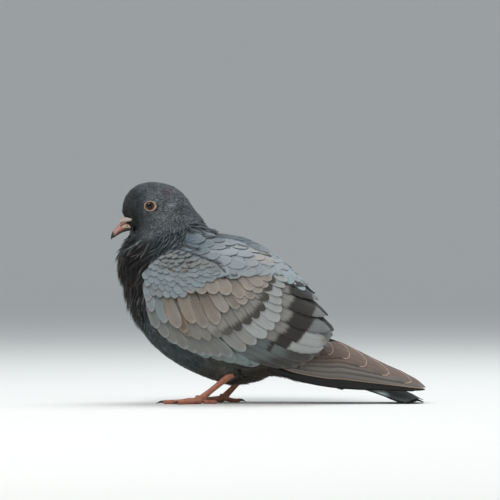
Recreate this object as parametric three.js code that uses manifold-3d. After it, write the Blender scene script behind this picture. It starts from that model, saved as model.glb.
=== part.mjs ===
// A standing feral pigeon, life size, as a still display model: head drawn in, breast and neck fluffed, wings folded
// over the rump and the tail tip resting on the floor.
//
// Millimetres, +Z up. The bird faces -X and its left side is at -Y. The origin is on the floor, under the middle of
// the bird's length and width.

import * as THREE from 'three';
import { LoftGeometry } from 'three/addons/geometries/LoftGeometry.js';
import { mergeVertices } from 'three/addons/utils/BufferGeometryUtils.js';
import Module from 'manifold-3d';

const wasm = await Module();
wasm.setup();

// ---------------------------------------------------------------------------------------------- driving dimensions

const GAP = 0.3; // between pieces that touch

// The body is a row of flat ribs from under the tail, along the trunk and round the neck to the bill. Each rib runs
// from a point [x, z] on the back line to one on the belly line. half is its half width; full is its squareness,
// where 2 is an ellipse; lift moves its widest place towards the back.
const BODY_RIBS = [
  { back: [65, 20.5], belly: [64, 12], half: 9, full: 2, lift: 0 }, // tail root
  { back: [50, 40], belly: [42, 14.2], half: 21, full: 2, lift: 0 }, // rump
  { back: [33.5, 77.5], belly: [19, 18.5], half: 32.6, full: 2, lift: 0 }, // vent
  { back: [19, 100.5], belly: [3, 22.5], half: 39.5, full: 2, lift: 0.05 }, // flank
  { back: [0, 117], belly: [-11, 16.8], half: 43.5, full: 2, lift: 0.1 }, // loin
  { back: [-20, 126.6], belly: [-30, 14.8], half: 46, full: 2, lift: 0.12 }, // back
  { back: [-36, 130.5], belly: [-48, 20], half: 46.5, full: 2.05, lift: 0.12 }, // mantle
  { back: [-44, 132.8], belly: [-68, 29.5], half: 45.5, full: 2.1, lift: 0.08 }, // shoulder
  { back: [-46, 134.2], belly: [-88, 44.5], half: 42, full: 2.1, lift: 0 }, // breast
  { back: [-47.5, 136], belly: [-103, 67.5], half: 36.5, full: 2.1, lift: 0 }, // crop
  { back: [-49.5, 138.6], belly: [-108.6, 88], half: 31, full: 2.05, lift: 0 }, // neck base
  { back: [-52, 141.8], belly: [-114, 106], half: 26, full: 2, lift: 0 }, // neck
  { back: [-55, 145.2], belly: [-109.5, 121.5], half: 21.5, full: 2, lift: 0 }, // upper neck
  { back: [-58.6, 150], belly: [-102.5, 130.3], half: 18, full: 2, lift: 0 }, // throat
  { back: [-63, 157], belly: [-101.9, 131], half: 16.3, full: 2.05, lift: 0 }, // nape
  { back: [-72, 164.6], belly: [-102.4, 131.6], half: 15.3, full: 2.1, lift: 0 }, // hind crown
  { back: [-87, 168], belly: [-103, 132.2], half: 14.6, full: 2.1, lift: 0 }, // crown
  { back: [-100, 165.6], belly: [-103.6, 132.6], half: 13.2, full: 2.1, lift: 0 }, // fore crown
  { back: [-108, 158], belly: [-104.2, 133], half: 10.8, full: 2.1, lift: 0 }, // forehead
  { back: [-110.9, 149.5], belly: [-104.8, 133.3], half: 8.2, full: 2.1, lift: 0 }, // lores
  { back: [-110.6, 143], belly: [-105.3, 133.7], half: 5.6, full: 2, lift: 0 }, // bill base
];
const BODY_AROUND = 24;
const BODY_STEPS = 1.6; // sections for each rib

// Planes that part the head from the neck and the neck from the trunk: a point [x, z] and the tilt of the plane's
// upper side from level, in degrees.
const HEAD_CUT = { at: [-80, 138], tilt: 24 };
const NECK_CUT = { at: [-78, 103], tilt: 41 };

// The folded wing lies on the trunk's ribs, but for three of its own at its back edge, where the flight feathers reach
// past the rump. It spans angles from the back (0) to the belly (180) on each rib.
const WING_OWN_RIBS = [
  { back: [50.5, 53], belly: [32, 28.5], half: 31.5, full: 2, lift: 0 },
  { back: [45.4, 67.8], belly: [27.5, 24.5], half: 33.8, full: 2, lift: 0 },
  { back: [35, 80.6], belly: [19, 18.5], half: 35.4, full: 2, lift: 0 },
];
const WING_UPPER = [0.6, 0.6, 1, 19, 34, 43, 48, 52, 57, 67, 80];
const WING_LOWER = [104, 121, 139, 149, 140, 131, 132, 134, 129, 129, 122];
const WING_PROUD = 3.8; // its outer face stands out from the trunk
const WING_CLEAR = 0.95; // and its inner one clears the trunk's facets
const WRIST_SET = 0.15; // ribs from the neck base's rib to its front edge
const WRIST_ROUND = 0.8; // and lost at the corners of that edge
const COVERT_EDGE = { top: 3.3, slope: 2.5 }; // rib where the coverts end, at the top and towards the belly
const SECONDARY_TIPS = 6;

// The primaries form one blade on each side, over the tail: stations along X with the lower and upper edges as
// [distance from the middle, z], the outward bulge and the thickness.
const PRIMARIES = [
  { x: 8, lower: [22.5, 22.6], upper: [25, 27], bulge: 0.4, thick: 1.6 },
  { x: 20, lower: [24.2, 18], upper: [26.5, 31], bulge: 0.8, thick: 2 },
  { x: 34, lower: [25, 14.8], upper: [21, 42], bulge: 4, thick: 2.6 },
  { x: 47, lower: [25, 12.7], upper: [10, 49], bulge: 5.5, thick: 2.6 },
  { x: 60, lower: [23.5, 11.4], upper: [5.5, 44], bulge: 5.5, thick: 2.6 },
  { x: 75, lower: [21, 10.6], upper: [4, 36.6], bulge: 4.4, thick: 2.2 },
  { x: 90, lower: [18.5, 10.2], upper: [3.4, 29.2], bulge: 3, thick: 1.9 },
  { x: 104, lower: [16.2, 9.6], upper: [3.4, 23.2], bulge: 2, thick: 1.5 },
  { x: 114, lower: [14.6, 9.4], upper: [4.2, 18], bulge: 1.2, thick: 1.2 },
  { x: 119.8, lower: [12.6, 10.6], upper: [7.6, 13.6], bulge: 0.4, thick: 0.9 },
];

// The tail is a closed fan, arched like a shallow roof, whose outer feathers and tip lie on the floor.
const TAIL = [
  { x: 30, ridge: 31, arch: 3, half: 12, thick: 3 },
  { x: 60, ridge: 22.5, arch: 5.5, half: 16, thick: 2.8 },
  { x: 80, ridge: 16.6, arch: 7.2, half: 18.5, thick: 2.3 },
  { x: 92, ridge: 13, arch: 8, half: 20, thick: 2 },
  { x: 102, ridge: 9.8, arch: 8.6, half: 21, thick: 1.8 },
  { x: 111, ridge: 6, arch: 5.4, half: 21.5, thick: 1.7 },
  { x: 118.2, ridge: 1.5, arch: 0.4, half: 21.5, thick: 1.8 },
];
const TAIL_CORNER = 12; // the outer feathers end this much short of the middle ones
const TAIL_FEATHERS = 12;

// Bill: ribs as on the body.
const UPPER_BILL = [
  { back: [-104, 141.5], belly: [-100.5, 134.8], half: 5, full: 2, lift: -0.2 },
  { back: [-110, 139.8], belly: [-106.6, 132.4], half: 4.6, full: 2, lift: -0.2 },
  { back: [-113.6, 136.2], belly: [-110.4, 130.8], half: 3.5, full: 2, lift: -0.2 },
  { back: [-116.6, 132.9], belly: [-113.6, 129.1], half: 2.9, full: 2, lift: -0.2 },
  { back: [-119, 129.4], belly: [-116.4, 127], half: 2, full: 2, lift: -0.1 },
  { back: [-119.8, 126.2], belly: [-118.6, 125.2], half: 0.8, full: 2, lift: 0 },
  { back: [-119.8, 124.4], belly: [-119.5, 124.2], half: 0.25, full: 2, lift: 0 },
];
const LOWER_BILL = [
  { back: [-101, 134], belly: [-101, 131.2], half: 4.4, full: 2, lift: 0.2 },
  { back: [-106.6, 131.9], belly: [-107.6, 130], half: 3.8, full: 2, lift: 0.2 },
  { back: [-111.4, 129.9], belly: [-112.4, 128.2], half: 2.8, full: 2, lift: 0.2 },
  { back: [-115.6, 127.2], belly: [-116, 126], half: 1.7, full: 2, lift: 0.2 },
  { back: [-117.9, 125.2], belly: [-118, 124.7], half: 0.5, full: 2, lift: 0 },
];
// The cere is two swollen lobes over the nostrils.
const CERE = { at: [-110.6, 1.6, 139.1], radii: [4.4, 2.7, 2.4], tilt: 48 };

// The eyeball sits in its socket with a cap of it bare.
const EYE = { at: [-89.8, 11.6, 149.6], radius: 4.5 };

// Legs: the left foot stands ahead of the right one. The shank runs from the hock, at the belly's plumage, down to
// the ball of the foot.
const HOCK_TO_FOOT = 31;
const LEGS = {
  left: { side: -1, foot: [-51.5, 19], lean: 39 },
  right: { side: 1, foot: [-34, 19], lean: 46 },
};
const BALL_HEIGHT = 3.6;
const BALL_RADIUS = 3.4;
const CLAW_TIP = 0.3; // radius
const TOE_SUNK = 0.7; // height of a toe's middle line over the floor, in radii: its underside is flat
const SHANK_RADII = [3.2, 2.5, 2.2, 2.25, 2.9];
const TOES = {
  inner: { turn: 30, length: 19, claw: 5.5, radius: 1.95 },
  middle: { turn: -4, length: 27, claw: 6.5, radius: 2.1 },
  outer: { turn: -36, length: 20, claw: 5.5, radius: 1.95 },
  hind: { turn: 172, length: 11.5, claw: 5.5, radius: 1.8 },
};

// -------------------------------------------------------------------------------------------------------- helpers

const vector = (x, y, z) => new THREE.Vector3(x, y, z);
const radians = THREE.MathUtils.degToRad;
const range = (count) => Array.from({ length: count }, (_, i) => i);

// A smooth curve through evenly numbered values, read at a fractional place.
function smooth(values, place) {
  const last = values.length - 1;
  const at = Math.min(Math.max(place, 0), last);
  const i = Math.min(Math.floor(at), last - 1);
  const t = at - i;
  const [b, c] = [values[i], values[i + 1]];
  const a = i > 0 ? values[i - 1] : 2 * b - c;
  const d = i + 2 <= last ? values[i + 2] : 2 * c - b;
  const bend = (2 * a - 5 * b + 4 * c - d) * t * t + (3 * b - a - 3 * c + d) * t * t * t;
  return b + 0.5 * ((c - a) * t + bend);
}

// The same, over a row of records.
function smoothField(rows, read, place) {
  return smooth(rows.map(read), place);
}

// A closed solid from any closed three.js geometry; triangles that its pinched edges flatten to nothing are dropped.
function solidOf(geometry) {
  const bare = new THREE.BufferGeometry();
  bare.setAttribute('position', geometry.attributes.position);
  bare.setIndex(geometry.index);
  const merged = mergeVertices(bare, 1e-4);
  const vertProperties = new Float32Array(merged.attributes.position.array);
  const corners = Array.from(merged.index.array);
  const triVerts = new Uint32Array(corners.filter((_, i) => {
    const [a, b, c] = corners.slice(i - (i % 3), i - (i % 3) + 3);
    return a !== b && b !== c && c !== a;
  }));
  if (signedVolume(vertProperties, triVerts) < 0) {
    triVerts.reverse();
  }
  return new wasm.Manifold(new wasm.Mesh({ numProp: 3, vertProperties, triVerts }));
}

function signedVolume(points, triangles) {
  const corners = [vector(), vector(), vector()];
  let volume = 0;
  for (let i = 0; i < triangles.length; i += 3) {
    corners.forEach((corner, k) => corner.fromArray(points, 3 * triangles[i + k]));
    volume += corners[0].dot(corners[1].clone().cross(corners[2])) / 6;
  }
  return volume;
}

function loft(sections) {
  return solidOf(new LoftGeometry(sections, { capStart: true, capEnd: true }));
}

// The same solid with every face moved out by a distance, for the room that a neighbour leaves round it.
function grown(solid, distance = GAP) {
  const { vertProperties, triVerts } = solid.getMesh();
  const faces = range(triVerts.length / 3).map((f) => {
    const corners = [0, 1, 2].map((k) => vector().fromArray(vertProperties, 3 * triVerts[3 * f + k]));
    const normal = new THREE.Triangle(...corners).getNormal(vector());
    return { corners, normal };
  });
  const around = range(vertProperties.length / 3).map(() => []);
  faces.forEach((face, f) => {
    [0, 1, 2].forEach((k) => {
      const [p, q, r] = [0, 1, 2].map((step) => face.corners[(k + step) % 3]);
      const angle = q.clone().sub(p).angleTo(r.clone().sub(p)) || 0;
      around[triVerts[3 * f + k]].push({ normal: face.normal, angle });
    });
  });
  const moved = new Float32Array(vertProperties);
  around.forEach((touching, i) => {
    const out = vector(0, 0, 0);
    touching.forEach(({ normal, angle }) => out.addScaledVector(normal, angle));
    out.normalize();
    const least = Math.min(...touching.map(({ normal }) => normal.dot(out)));
    const reach = distance / Math.max(least, 0.45);
    vector().fromArray(vertProperties, 3 * i).addScaledVector(out, reach).toArray(moved, 3 * i);
  });
  return new wasm.Manifold(new wasm.Mesh({ numProp: 3, vertProperties: moved, triVerts }));
}

// What is left of a solid beside its neighbours, without any crumb that the cut leaves loose.
function cut(solid, ...neighbours) {
  const rest = neighbours.reduce((left, other) => left.subtract(grown(other)), solid);
  return rest.decompose().reduce((largest, piece) => (piece.volume() > largest.volume() ? piece : largest));
}

// --------------------------------------------------------------------------------------------- ribs and their skin

function ribAt(ribs, place) {
  const read = (field) => smoothField(ribs, field, place);
  return {
    back: [read((rib) => rib.back[0]), read((rib) => rib.back[1])],
    belly: [read((rib) => rib.belly[0]), read((rib) => rib.belly[1])],
    half: read((rib) => rib.half),
    full: read((rib) => rib.full),
    lift: read((rib) => rib.lift),
  };
}

const superPower = (value, full) => Math.sign(value) * Math.abs(value) ** (2 / full);

// The point on a rib's rim at an angle from the back, in radians; side -1 is the bird's left.
function rimPoint(rib, angle, side = 1) {
  const up = superPower(Math.cos(angle), rib.full);
  const along = (1 + up + rib.lift * (1 - up * up)) / 2;
  const [x, z] = [0, 1].map((k) => rib.belly[k] + (rib.back[k] - rib.belly[k]) * along);
  return vector(x, side * rib.half * superPower(Math.sin(angle), rib.full), z);
}

function ribLoft(ribs, steps, around) {
  const count = Math.round((ribs.length - 1) * steps);
  const sections = range(count + 1).map((i) => {
    const rib = ribAt(ribs, ((ribs.length - 1) * i) / count);
    return range(around).map((k) => rimPoint(rib, (2 * Math.PI * k) / around));
  });
  return loft(sections);
}

// A point off the ribs' skin, moved out along its normal.
function offSkin(ribs, place, angle, side, out) {
  const step = 0.02;
  const at = (p, a) => rimPoint(ribAt(ribs, p), a, side);
  const along = at(place + step, angle).sub(at(place - step, angle));
  const round = at(place, angle + step).sub(at(place, angle - step));
  const normal = along.cross(round).normalize();
  const point = at(place, angle);
  const rib = ribAt(ribs, place);
  const centre = vector((rib.back[0] + rib.belly[0]) / 2, 0, (rib.back[1] + rib.belly[1]) / 2);
  if (normal.dot(point.clone().sub(centre)) < 0) {
    normal.negate();
  }
  return point.addScaledVector(normal, out);
}

// A curved slab between an outer and an inner sheet, both given as point(u, v) with u along and v across. Its two
// ends are closed along the line half way between the sheets.
function slab(outer, inner, along, across) {
  const steps = range(across + 1).map((k) => k / across);
  const section = (u) => {
    const [far, near] = [outer, inner].map((sheet) => steps.map((v) => sheet(u, v)));
    return [...far, ...near.reverse()];
  };
  const end = (u) => {
    const middle = steps.map((v) => outer(u, v).lerp(inner(u, v), 0.5));
    return [...middle, ...middle.slice().reverse()];
  };
  const sections = range(along + 1).map((i) => section(i / along));
  return solidOf(new LoftGeometry([end(0), ...sections, end(1)]));
}

// A large block on one side of a plane square to the XZ plane, for parting the body.
function halfSpace({ at, tilt }, above) {
  const size = 500;
  const geometry = new THREE.BoxGeometry(size, size, size);
  geometry.translate(0, 0, (above ? 1 : -1) * (size + GAP) / 2);
  geometry.rotateY(radians(-tilt));
  geometry.translate(at[0], 0, at[1]);
  return solidOf(geometry);
}

// ---------------------------------------------------------------------------------------------------- wings and tail

const WING_RIBS = [...WING_OWN_RIBS, ...BODY_RIBS.slice(WING_OWN_RIBS.length, 11)];

// One length of the folded wing, between two edges that give the rib place for v = 0 at the top to 1 at the bottom.
function wingLength(side, frontEdge, rearEdge, rearFree, along) {
  const sheet = (out) => (u, v) => {
    const place = frontEdge(v) + (rearEdge(v) - frontEdge(v)) * u;
    const [top, bottom] = [smooth(WING_UPPER, place), smooth(WING_LOWER, place)];
    const point = offSkin(WING_RIBS, place, radians(top + (bottom - top) * v), side, out(u, v));
    point.y = side * Math.max(side * point.y, GAP / 2);
    return point;
  };
  const rim = (v) => 1 - 0.45 * Math.abs(2 * v - 1) ** 5;
  const tip = (u) => (rearFree ? u ** 5 : 0);
  const outer = sheet((u, v) => WING_PROUD * rim(v) * (1 - 0.35 * tip(u)));
  const inner = sheet((u) => WING_CLEAR + 0.5 * tip(u));
  return slab(outer, inner, along, 2 * SECONDARY_TIPS);
}

const FRONT_PLACE = WING_RIBS.length - 1;
const covertFront = (v) => FRONT_PLACE - WRIST_SET - WRIST_ROUND * Math.abs(2 * v - 1) ** 3;
const covertRear = (v) => COVERT_EDGE.top + COVERT_EDGE.slope * v;
const PLACE_GAP = 0.024; // ribs, about a gap's width
const secondaryFront = (v) => covertRear(v) - PLACE_GAP;
const secondaryRear = (v) => 0.16 - 0.16 * Math.abs(Math.sin(Math.PI * SECONDARY_TIPS * v));

const wingCoverts = (side) => wingLength(side, covertFront, covertRear, false, 9);
const wingSecondaries = (side) => wingLength(side, secondaryFront, secondaryRear, true, 7);

function wingPrimaries(side) {
  const last = PRIMARIES.length - 1;
  const sheet = (share) => (u, v) => {
    const read = (field) => smoothField(PRIMARIES, field, u * last);
    const lower = [read((s) => s.lower[0]), read((s) => s.lower[1])];
    const upper = [read((s) => s.upper[0]), read((s) => s.upper[1])];
    const bow = read((s) => s.bulge) * Math.sin(Math.PI * v);
    const out = bow + share * read((s) => s.thick) * (0.5 + 0.5 * Math.sin(Math.PI * v) ** 0.5);
    const y = upper[0] + (lower[0] - upper[0]) * v + out;
    return vector(read((s) => s.x), side * y, upper[1] + (lower[1] - upper[1]) * v + out * 0.3);
  };
  return slab(sheet(0.5), sheet(-0.5), 12, 5);
}

function tailFan() {
  const last = TAIL.length - 1;
  const [root, end] = [TAIL[0].x, TAIL[last].x];
  const sheet = (under) => (u, v) => {
    const across = 2 * v - 1;
    const scallop = 1.2 * Math.abs(Math.cos((Math.PI * TAIL_FEATHERS * v) / 2));
    const short = TAIL_CORNER * Math.abs(across) ** 2.6 + scallop;
    const x = root + (end - root - short) * u;
    const place = placeOf(TAIL, x);
    const read = (field) => smoothField(TAIL, field, place);
    const top = read((s) => s.ridge) - read((s) => s.arch) * across * across;
    const z = top - under * read((s) => s.thick) * (1 - 0.4 * Math.abs(across) ** 4);
    return vector(x, read((s) => s.half) * across, Math.max(z, 0));
  };
  return slab(sheet(0), sheet(1), 9, TAIL_FEATHERS);
}

// The fractional place in a row of stations at which their x reaches a value.
function placeOf(stations, x) {
  let i = 0;
  while (i < stations.length - 2 && stations[i + 1].x < x) {
    i += 1;
  }
  return i + (x - stations[i].x) / (stations[i + 1].x - stations[i].x);
}

// ------------------------------------------------------------------------------------------------- bill and eyes

function cere() {
  const { at, radii, tilt } = CERE;
  const lobe = (side) => {
    const geometry = new THREE.SphereGeometry(1, 8, 6);
    geometry.scale(...radii);
    geometry.rotateY(radians(-tilt));
    geometry.translate(at[0], side * at[1], at[2]);
    return solidOf(geometry);
  };
  return lobe(-1).add(lobe(1));
}

function eyeball(side) {
  const geometry = new THREE.SphereGeometry(EYE.radius, 12, 8);
  geometry.rotateX(Math.PI / 2);
  geometry.translate(EYE.at[0], side * EYE.at[1], EYE.at[2]);
  return solidOf(geometry);
}

// ----------------------------------------------------------------------------------------------------------- legs

// A round bar along a path, its radius read from a list along it, and flat where it would pass below the floor.
function bar(path, radii, steps, around, flatten = 1) {
  const curve = new THREE.CatmullRomCurve3(path);
  const sections = range(steps + 1).map((i) => {
    const t = i / steps;
    const centre = curve.getPoint(t);
    const ahead = curve.getTangent(t);
    const sideways = vector(0, 0, 1).cross(ahead);
    if (sideways.length() < 1e-3) {
      sideways.set(0, 1, 0);
    }
    sideways.normalize();
    const upward = ahead.clone().cross(sideways).normalize();
    const radius = smooth(radii, t * (radii.length - 1));
    return range(around).map((k) => {
      const angle = (2 * Math.PI * (k + 0.5)) / around;
      const point = centre.clone().addScaledVector(sideways, radius * Math.cos(angle));
      point.addScaledVector(upward, radius * flatten * Math.sin(angle));
      point.z = Math.max(point.z, 0);
      return point;
    });
  });
  return loft(sections);
}

function legParts({ side, foot, lean }) {
  const ball = vector(foot[0], side * foot[1], BALL_HEIGHT);
  const up = vector(Math.cos(radians(lean)), side * 0.07, Math.sin(radians(lean))).normalize();
  const hock = ball.clone().addScaledVector(up, HOCK_TO_FOOT);
  const along = (share) => ball.clone().lerp(hock, share);
  const shank = bar([hock, along(0.66), along(0.33), ball], SHANK_RADII, 6, 9);
  const pad = new THREE.SphereGeometry(BALL_RADIUS, 9, 6);
  pad.translate(ball.x, ball.y, ball.z - 0.4);
  flattenOnFloor(pad);
  const toes = Object.values(TOES).map((toe) => toeAndClaw(ball, radians(180 + side * toe.turn), toe));
  const footWhole = toes.reduce((joined, { toe }) => joined.add(toe), solidOf(pad));
  const claws = Object.keys(TOES).map((name, i) => ({ name, solid: cut(toes[i].claw, footWhole) }));
  return { foot: footWhole, shank: cut(shank, footWhole, trunk), claws, hock };
}

function toeAndClaw(ball, heading, { length, radius, claw }) {
  const direction = vector(Math.cos(heading), Math.sin(heading), 0);
  const at = (distance, height) => ball.clone().addScaledVector(direction, distance).setZ(height);
  const low = radius * TOE_SUNK;
  const path = [at(1.2, BALL_HEIGHT - 0.6), at(length * 0.3, low + 0.7), at(length * 0.65, low), at(length, low)];
  const tip = [at(length - 1.6, low), at(length + claw * 0.4, low + 0.35), at(length + claw, CLAW_TIP)];
  return {
    toe: bar(path, [radius, radius * 1.05, radius * 0.92, radius * 0.8], 4, 8),
    claw: bar(tip, [radius * 0.5, radius * 0.42, CLAW_TIP], 4, 6),
  };
}

function flattenOnFloor(geometry) {
  const positions = geometry.attributes.position;
  range(positions.count).forEach((i) => positions.setZ(i, Math.max(positions.getZ(i), 0)));
}

// The feathered thigh: a short cone of plumage from the belly down to the hock.
function thigh(side, hock) {
  const root = vector(hock.x + 17, side * 17, hock.z + 17);
  const middle = root.clone().lerp(hock, 0.6);
  const tip = hock.clone().lerp(middle, -0.12);
  return bar([root, middle, tip], [12, 8.6, 4.2], 4, 10);
}

// ------------------------------------------------------------------------------------------------------- assembly

const PLUMAGE = { slate: 0x3c4146, neck: 0x332f30, grey: 0x8b9297, bar: 0x6a686a, brown: 0x6b5c56 };
const HORN = { pink: 0xb98f86, dark: 0x2a2627, cere: 0xcbb8b2, leg: 0xb0583f, amber: 0x6b3c14 };

const model = new THREE.Group();

function place(name, solid, color, roughness) {
  const { vertProperties, triVerts } = solid.getMesh();
  const geometry = new THREE.BufferGeometry();
  geometry.setAttribute('position', new THREE.BufferAttribute(new Float32Array(vertProperties), 3));
  geometry.setIndex(new THREE.BufferAttribute(new Uint32Array(triVerts), 1));
  geometry.computeVertexNormals();
  const mesh = new THREE.Mesh(geometry, new THREE.MeshStandardMaterial({ color, roughness, metalness: 0 }));
  mesh.name = name;
  model.add(mesh);
  return solid;
}

const body = ribLoft(BODY_RIBS, BODY_STEPS, BODY_AROUND);
const sides = { left: -1, right: 1 };
const sideNames = Object.keys(sides);
const trunk = body.intersect(halfSpace(NECK_CUT, false));
const neck = body.intersect(halfSpace(NECK_CUT, true)).intersect(halfSpace(HEAD_CUT, false));

const legs = Object.fromEntries(sideNames.map((name) => [name, legParts(LEGS[name])]));
const wings = sideNames.map((name) => {
  const side = sides[name];
  const secondaries = wingSecondaries(side);
  return { name, coverts: wingCoverts(side), secondaries, primaries: cut(wingPrimaries(side), secondaries, trunk) };
});
const tail = cut(tailFan(), trunk, ...wings.map((wing) => wing.primaries));

const eyes = sideNames.map((name) => ({ name, solid: eyeball(sides[name]) }));
const headWhole = body.intersect(halfSpace(HEAD_CUT, true));
const upperBill = cut(ribLoft(UPPER_BILL, 2, 12), headWhole);
const cereLobes = cut(cere(), headWhole, upperBill);
const lowerBill = cut(ribLoft(LOWER_BILL, 2, 10), headWhole, upperBill);
const head = cut(headWhole, ...eyes.map((eye) => eye.solid));

place('trunk', trunk, PLUMAGE.slate, 0.85);
place('neck', neck, PLUMAGE.neck, 0.8);
place('head', head, PLUMAGE.slate, 0.8);
place('cere', cereLobes, HORN.cere, 0.7);
place('bill_upper', upperBill, HORN.pink, 0.45);
place('bill_lower', lowerBill, HORN.dark, 0.45);
place('tail', tail, PLUMAGE.slate, 0.8);
eyes.forEach(({ name, solid }) => place(`eye_${name}`, solid, HORN.amber, 0.1));

wings.forEach((wing) => {
  place(`wing_${wing.name}_coverts`, wing.coverts, PLUMAGE.grey, 0.8);
  place(`wing_${wing.name}_secondaries`, wing.secondaries, PLUMAGE.bar, 0.8);
  place(`wing_${wing.name}_primaries`, wing.primaries, PLUMAGE.brown, 0.75);
});

sideNames.forEach((name) => {
  const { foot, shank, claws, hock } = legs[name];
  const feathered = cut(thigh(sides[name], hock), trunk, shank, ...wings.map((wing) => wing.secondaries));
  place(`thigh_${name}`, feathered, PLUMAGE.slate, 0.85);
  place(`shank_${name}`, shank, HORN.leg, 0.6);
  place(`foot_${name}`, foot, HORN.leg, 0.6);
  claws.forEach((claw) => place(`claw_${name}_${claw.name}`, claw.solid, HORN.dark, 0.4));
});

export default model;
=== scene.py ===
"""A standing feral pigeon, dressed in its plumage, horn, scales and eyes, over the frame that the solids
give.

The file is laid out as an add-on and run as a script: each piece of the bird has an operator, and main()
calls them.
"""

import bpy
import numpy as np
from bpy.props import FloatProperty, IntProperty, PointerProperty
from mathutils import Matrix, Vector
from mathutils.bvhtree import BVHTree


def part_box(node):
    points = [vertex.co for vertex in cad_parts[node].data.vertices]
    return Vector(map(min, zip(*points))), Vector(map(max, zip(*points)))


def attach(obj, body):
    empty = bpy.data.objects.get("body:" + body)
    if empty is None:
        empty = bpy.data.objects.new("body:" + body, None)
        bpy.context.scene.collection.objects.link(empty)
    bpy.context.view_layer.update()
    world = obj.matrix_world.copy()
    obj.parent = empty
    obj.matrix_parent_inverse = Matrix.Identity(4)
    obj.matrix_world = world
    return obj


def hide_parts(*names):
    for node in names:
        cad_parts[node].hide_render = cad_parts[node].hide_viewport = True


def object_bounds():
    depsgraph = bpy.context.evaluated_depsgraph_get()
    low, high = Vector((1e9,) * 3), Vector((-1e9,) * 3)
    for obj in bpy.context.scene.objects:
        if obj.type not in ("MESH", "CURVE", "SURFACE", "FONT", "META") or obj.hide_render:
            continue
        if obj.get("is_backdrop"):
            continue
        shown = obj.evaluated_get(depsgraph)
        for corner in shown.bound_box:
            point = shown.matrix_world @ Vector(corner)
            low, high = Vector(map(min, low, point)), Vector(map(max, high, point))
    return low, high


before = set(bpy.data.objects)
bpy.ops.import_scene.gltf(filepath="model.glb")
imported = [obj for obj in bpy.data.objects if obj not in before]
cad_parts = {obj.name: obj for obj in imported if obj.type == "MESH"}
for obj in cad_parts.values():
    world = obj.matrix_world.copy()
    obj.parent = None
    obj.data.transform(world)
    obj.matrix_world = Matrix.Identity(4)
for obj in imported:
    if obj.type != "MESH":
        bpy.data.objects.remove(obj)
CAD_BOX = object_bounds()

bl_info = {
    "name": "Feral Pigeon Still Model",
    "version": (1, 0, 0),
    "blender": (4, 5, 0),
    "location": "3D View > Sidebar > Pigeon",
    "description": "Dresses the solids of a standing pigeon in feathers, horn, scales and eyes",
    "category": "Add Mesh",
}

MM = 0.001
SIDES = {"left": -1, "right": 1}
FLESH = ("trunk", "neck", "head", "thigh_left", "thigh_right")
WING_NODES = tuple(f"wing_{side}_{part}" for side in SIDES for part in ("coverts", "secondaries"))
CLOSING = 4  # rows over which the thin cuts between the solids are closed
PATCH = 0.003  # side of a feather's place on the bake's map
REACH = 0.09  # how far out from a line's middle the surface is looked for
OVERLAP = 0.72  # the step from feather to feather in a row, as a share of a feather's width

# ---------------- lines on the bird

# Lines across the bird's side, in mm, from x, z on the back to x, z on the belly. Together they turn from
# the tail, along the trunk and round the neck, to the bill. Places on the plumage are read on them.
TRUNK_LINES = (
    (0, 117, -11, 16.8), (-20, 126.6, -30, 14.8), (-36, 130.5, -48, 20), (-44, 132.8, -68, 29.5),
    (-46, 134.2, -88, 44.5), (-47.5, 136, -103, 67.5), (-49.5, 138.6, -108.6, 88),
)
REAR_LINES = ((65, 20.5, 64, 12), (50, 40, 42, 14.2), (33.5, 77.5, 19, 18.5), (19, 100.5, 3, 22.5))
WING_REAR_LINES = ((50.5, 53, 32, 28.5), (45.4, 67.8, 27.5, 24.5), (35, 80.6, 19, 18.5), (19, 100.5, 3, 22.5))
NECK_LINES = (
    (-52, 141.8, -114, 106), (-55, 145.2, -109.5, 121.5), (-58.6, 150, -102.5, 130.3),
    (-63, 157, -101.9, 131), (-72, 164.6, -102.4, 131.6), (-87, 168, -103, 132.2),
    (-100, 165.6, -103.6, 132.6), (-108, 158, -104.2, 133), (-110.9, 149.5, -104.8, 133.3),
    (-110.6, 143, -105.3, 133.7),
)
BODY_LINES = REAR_LINES + TRUNK_LINES + NECK_LINES
WING_LINES = WING_REAR_LINES + TRUNK_LINES + NECK_LINES[:3]

# The lie of the feathers: at a place x, z in mm, the heading dx, dz of their tips, seen from the side.
HEAD_LIE = (
    (-108, 158, 0.5, 0.85), (-110, 148, 0.75, 0.4), (-104, 142, 0.95, 0.1), (-100, 165, 0.85, 0.5),
    (-87, 168, 1, 0), (-72, 165, 0.85, -0.5), (-62, 156, 0.6, -0.8), (-96, 152, 1, 0.1),
    (-80, 152, 1, -0.15), (-70, 150, 0.8, -0.5), (-97, 140, 0.9, -0.35), (-84, 138, 0.75, -0.65),
    (-70, 136, 0.3, -0.95), (-57, 146, 0.5, -0.85), (-102, 131, 0.3, -0.9),
)
NECK_LIE = (
    (-92, 128, -0.45, -0.9), (-104, 123, -0.85, -0.55), (-113, 106, -0.6, -0.8),
    (-104, 112, -0.85, -0.53), (-80, 124, -0.5, -0.86), (-66, 128, -0.15, -0.99), (-94, 108, -0.8, -0.6),
    (-82, 108, -0.72, -0.7), (-108, 92, -0.3, -0.95), (-98, 90, -0.5, -0.86), (-96, 78, -0.2, -0.98),
    (-104, 68, 0.0, -1),
)
BREAST_LIE = (
    (-96, 60, 0.15, -0.98), (-88, 45, 0.5, -0.86), (-68, 30, 0.8, -0.6), (-48, 20, 0.97, -0.2),
    (-20, 16, 1, 0.05), (10, 20, 1, -0.05), (45, 14, 1, -0.1),
)
BACK_LIE = (
    (-45, 134, 0.9, -0.4), (-20, 127, 0.95, -0.35), (0, 117, 0.87, -0.5), (20, 100, 0.7, -0.7),
    (35, 77, 0.6, -0.8), (50, 40, 0.8, -0.6),
)
BODY_LIE = HEAD_LIE + NECK_LIE + BREAST_LIE + BACK_LIE
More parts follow.
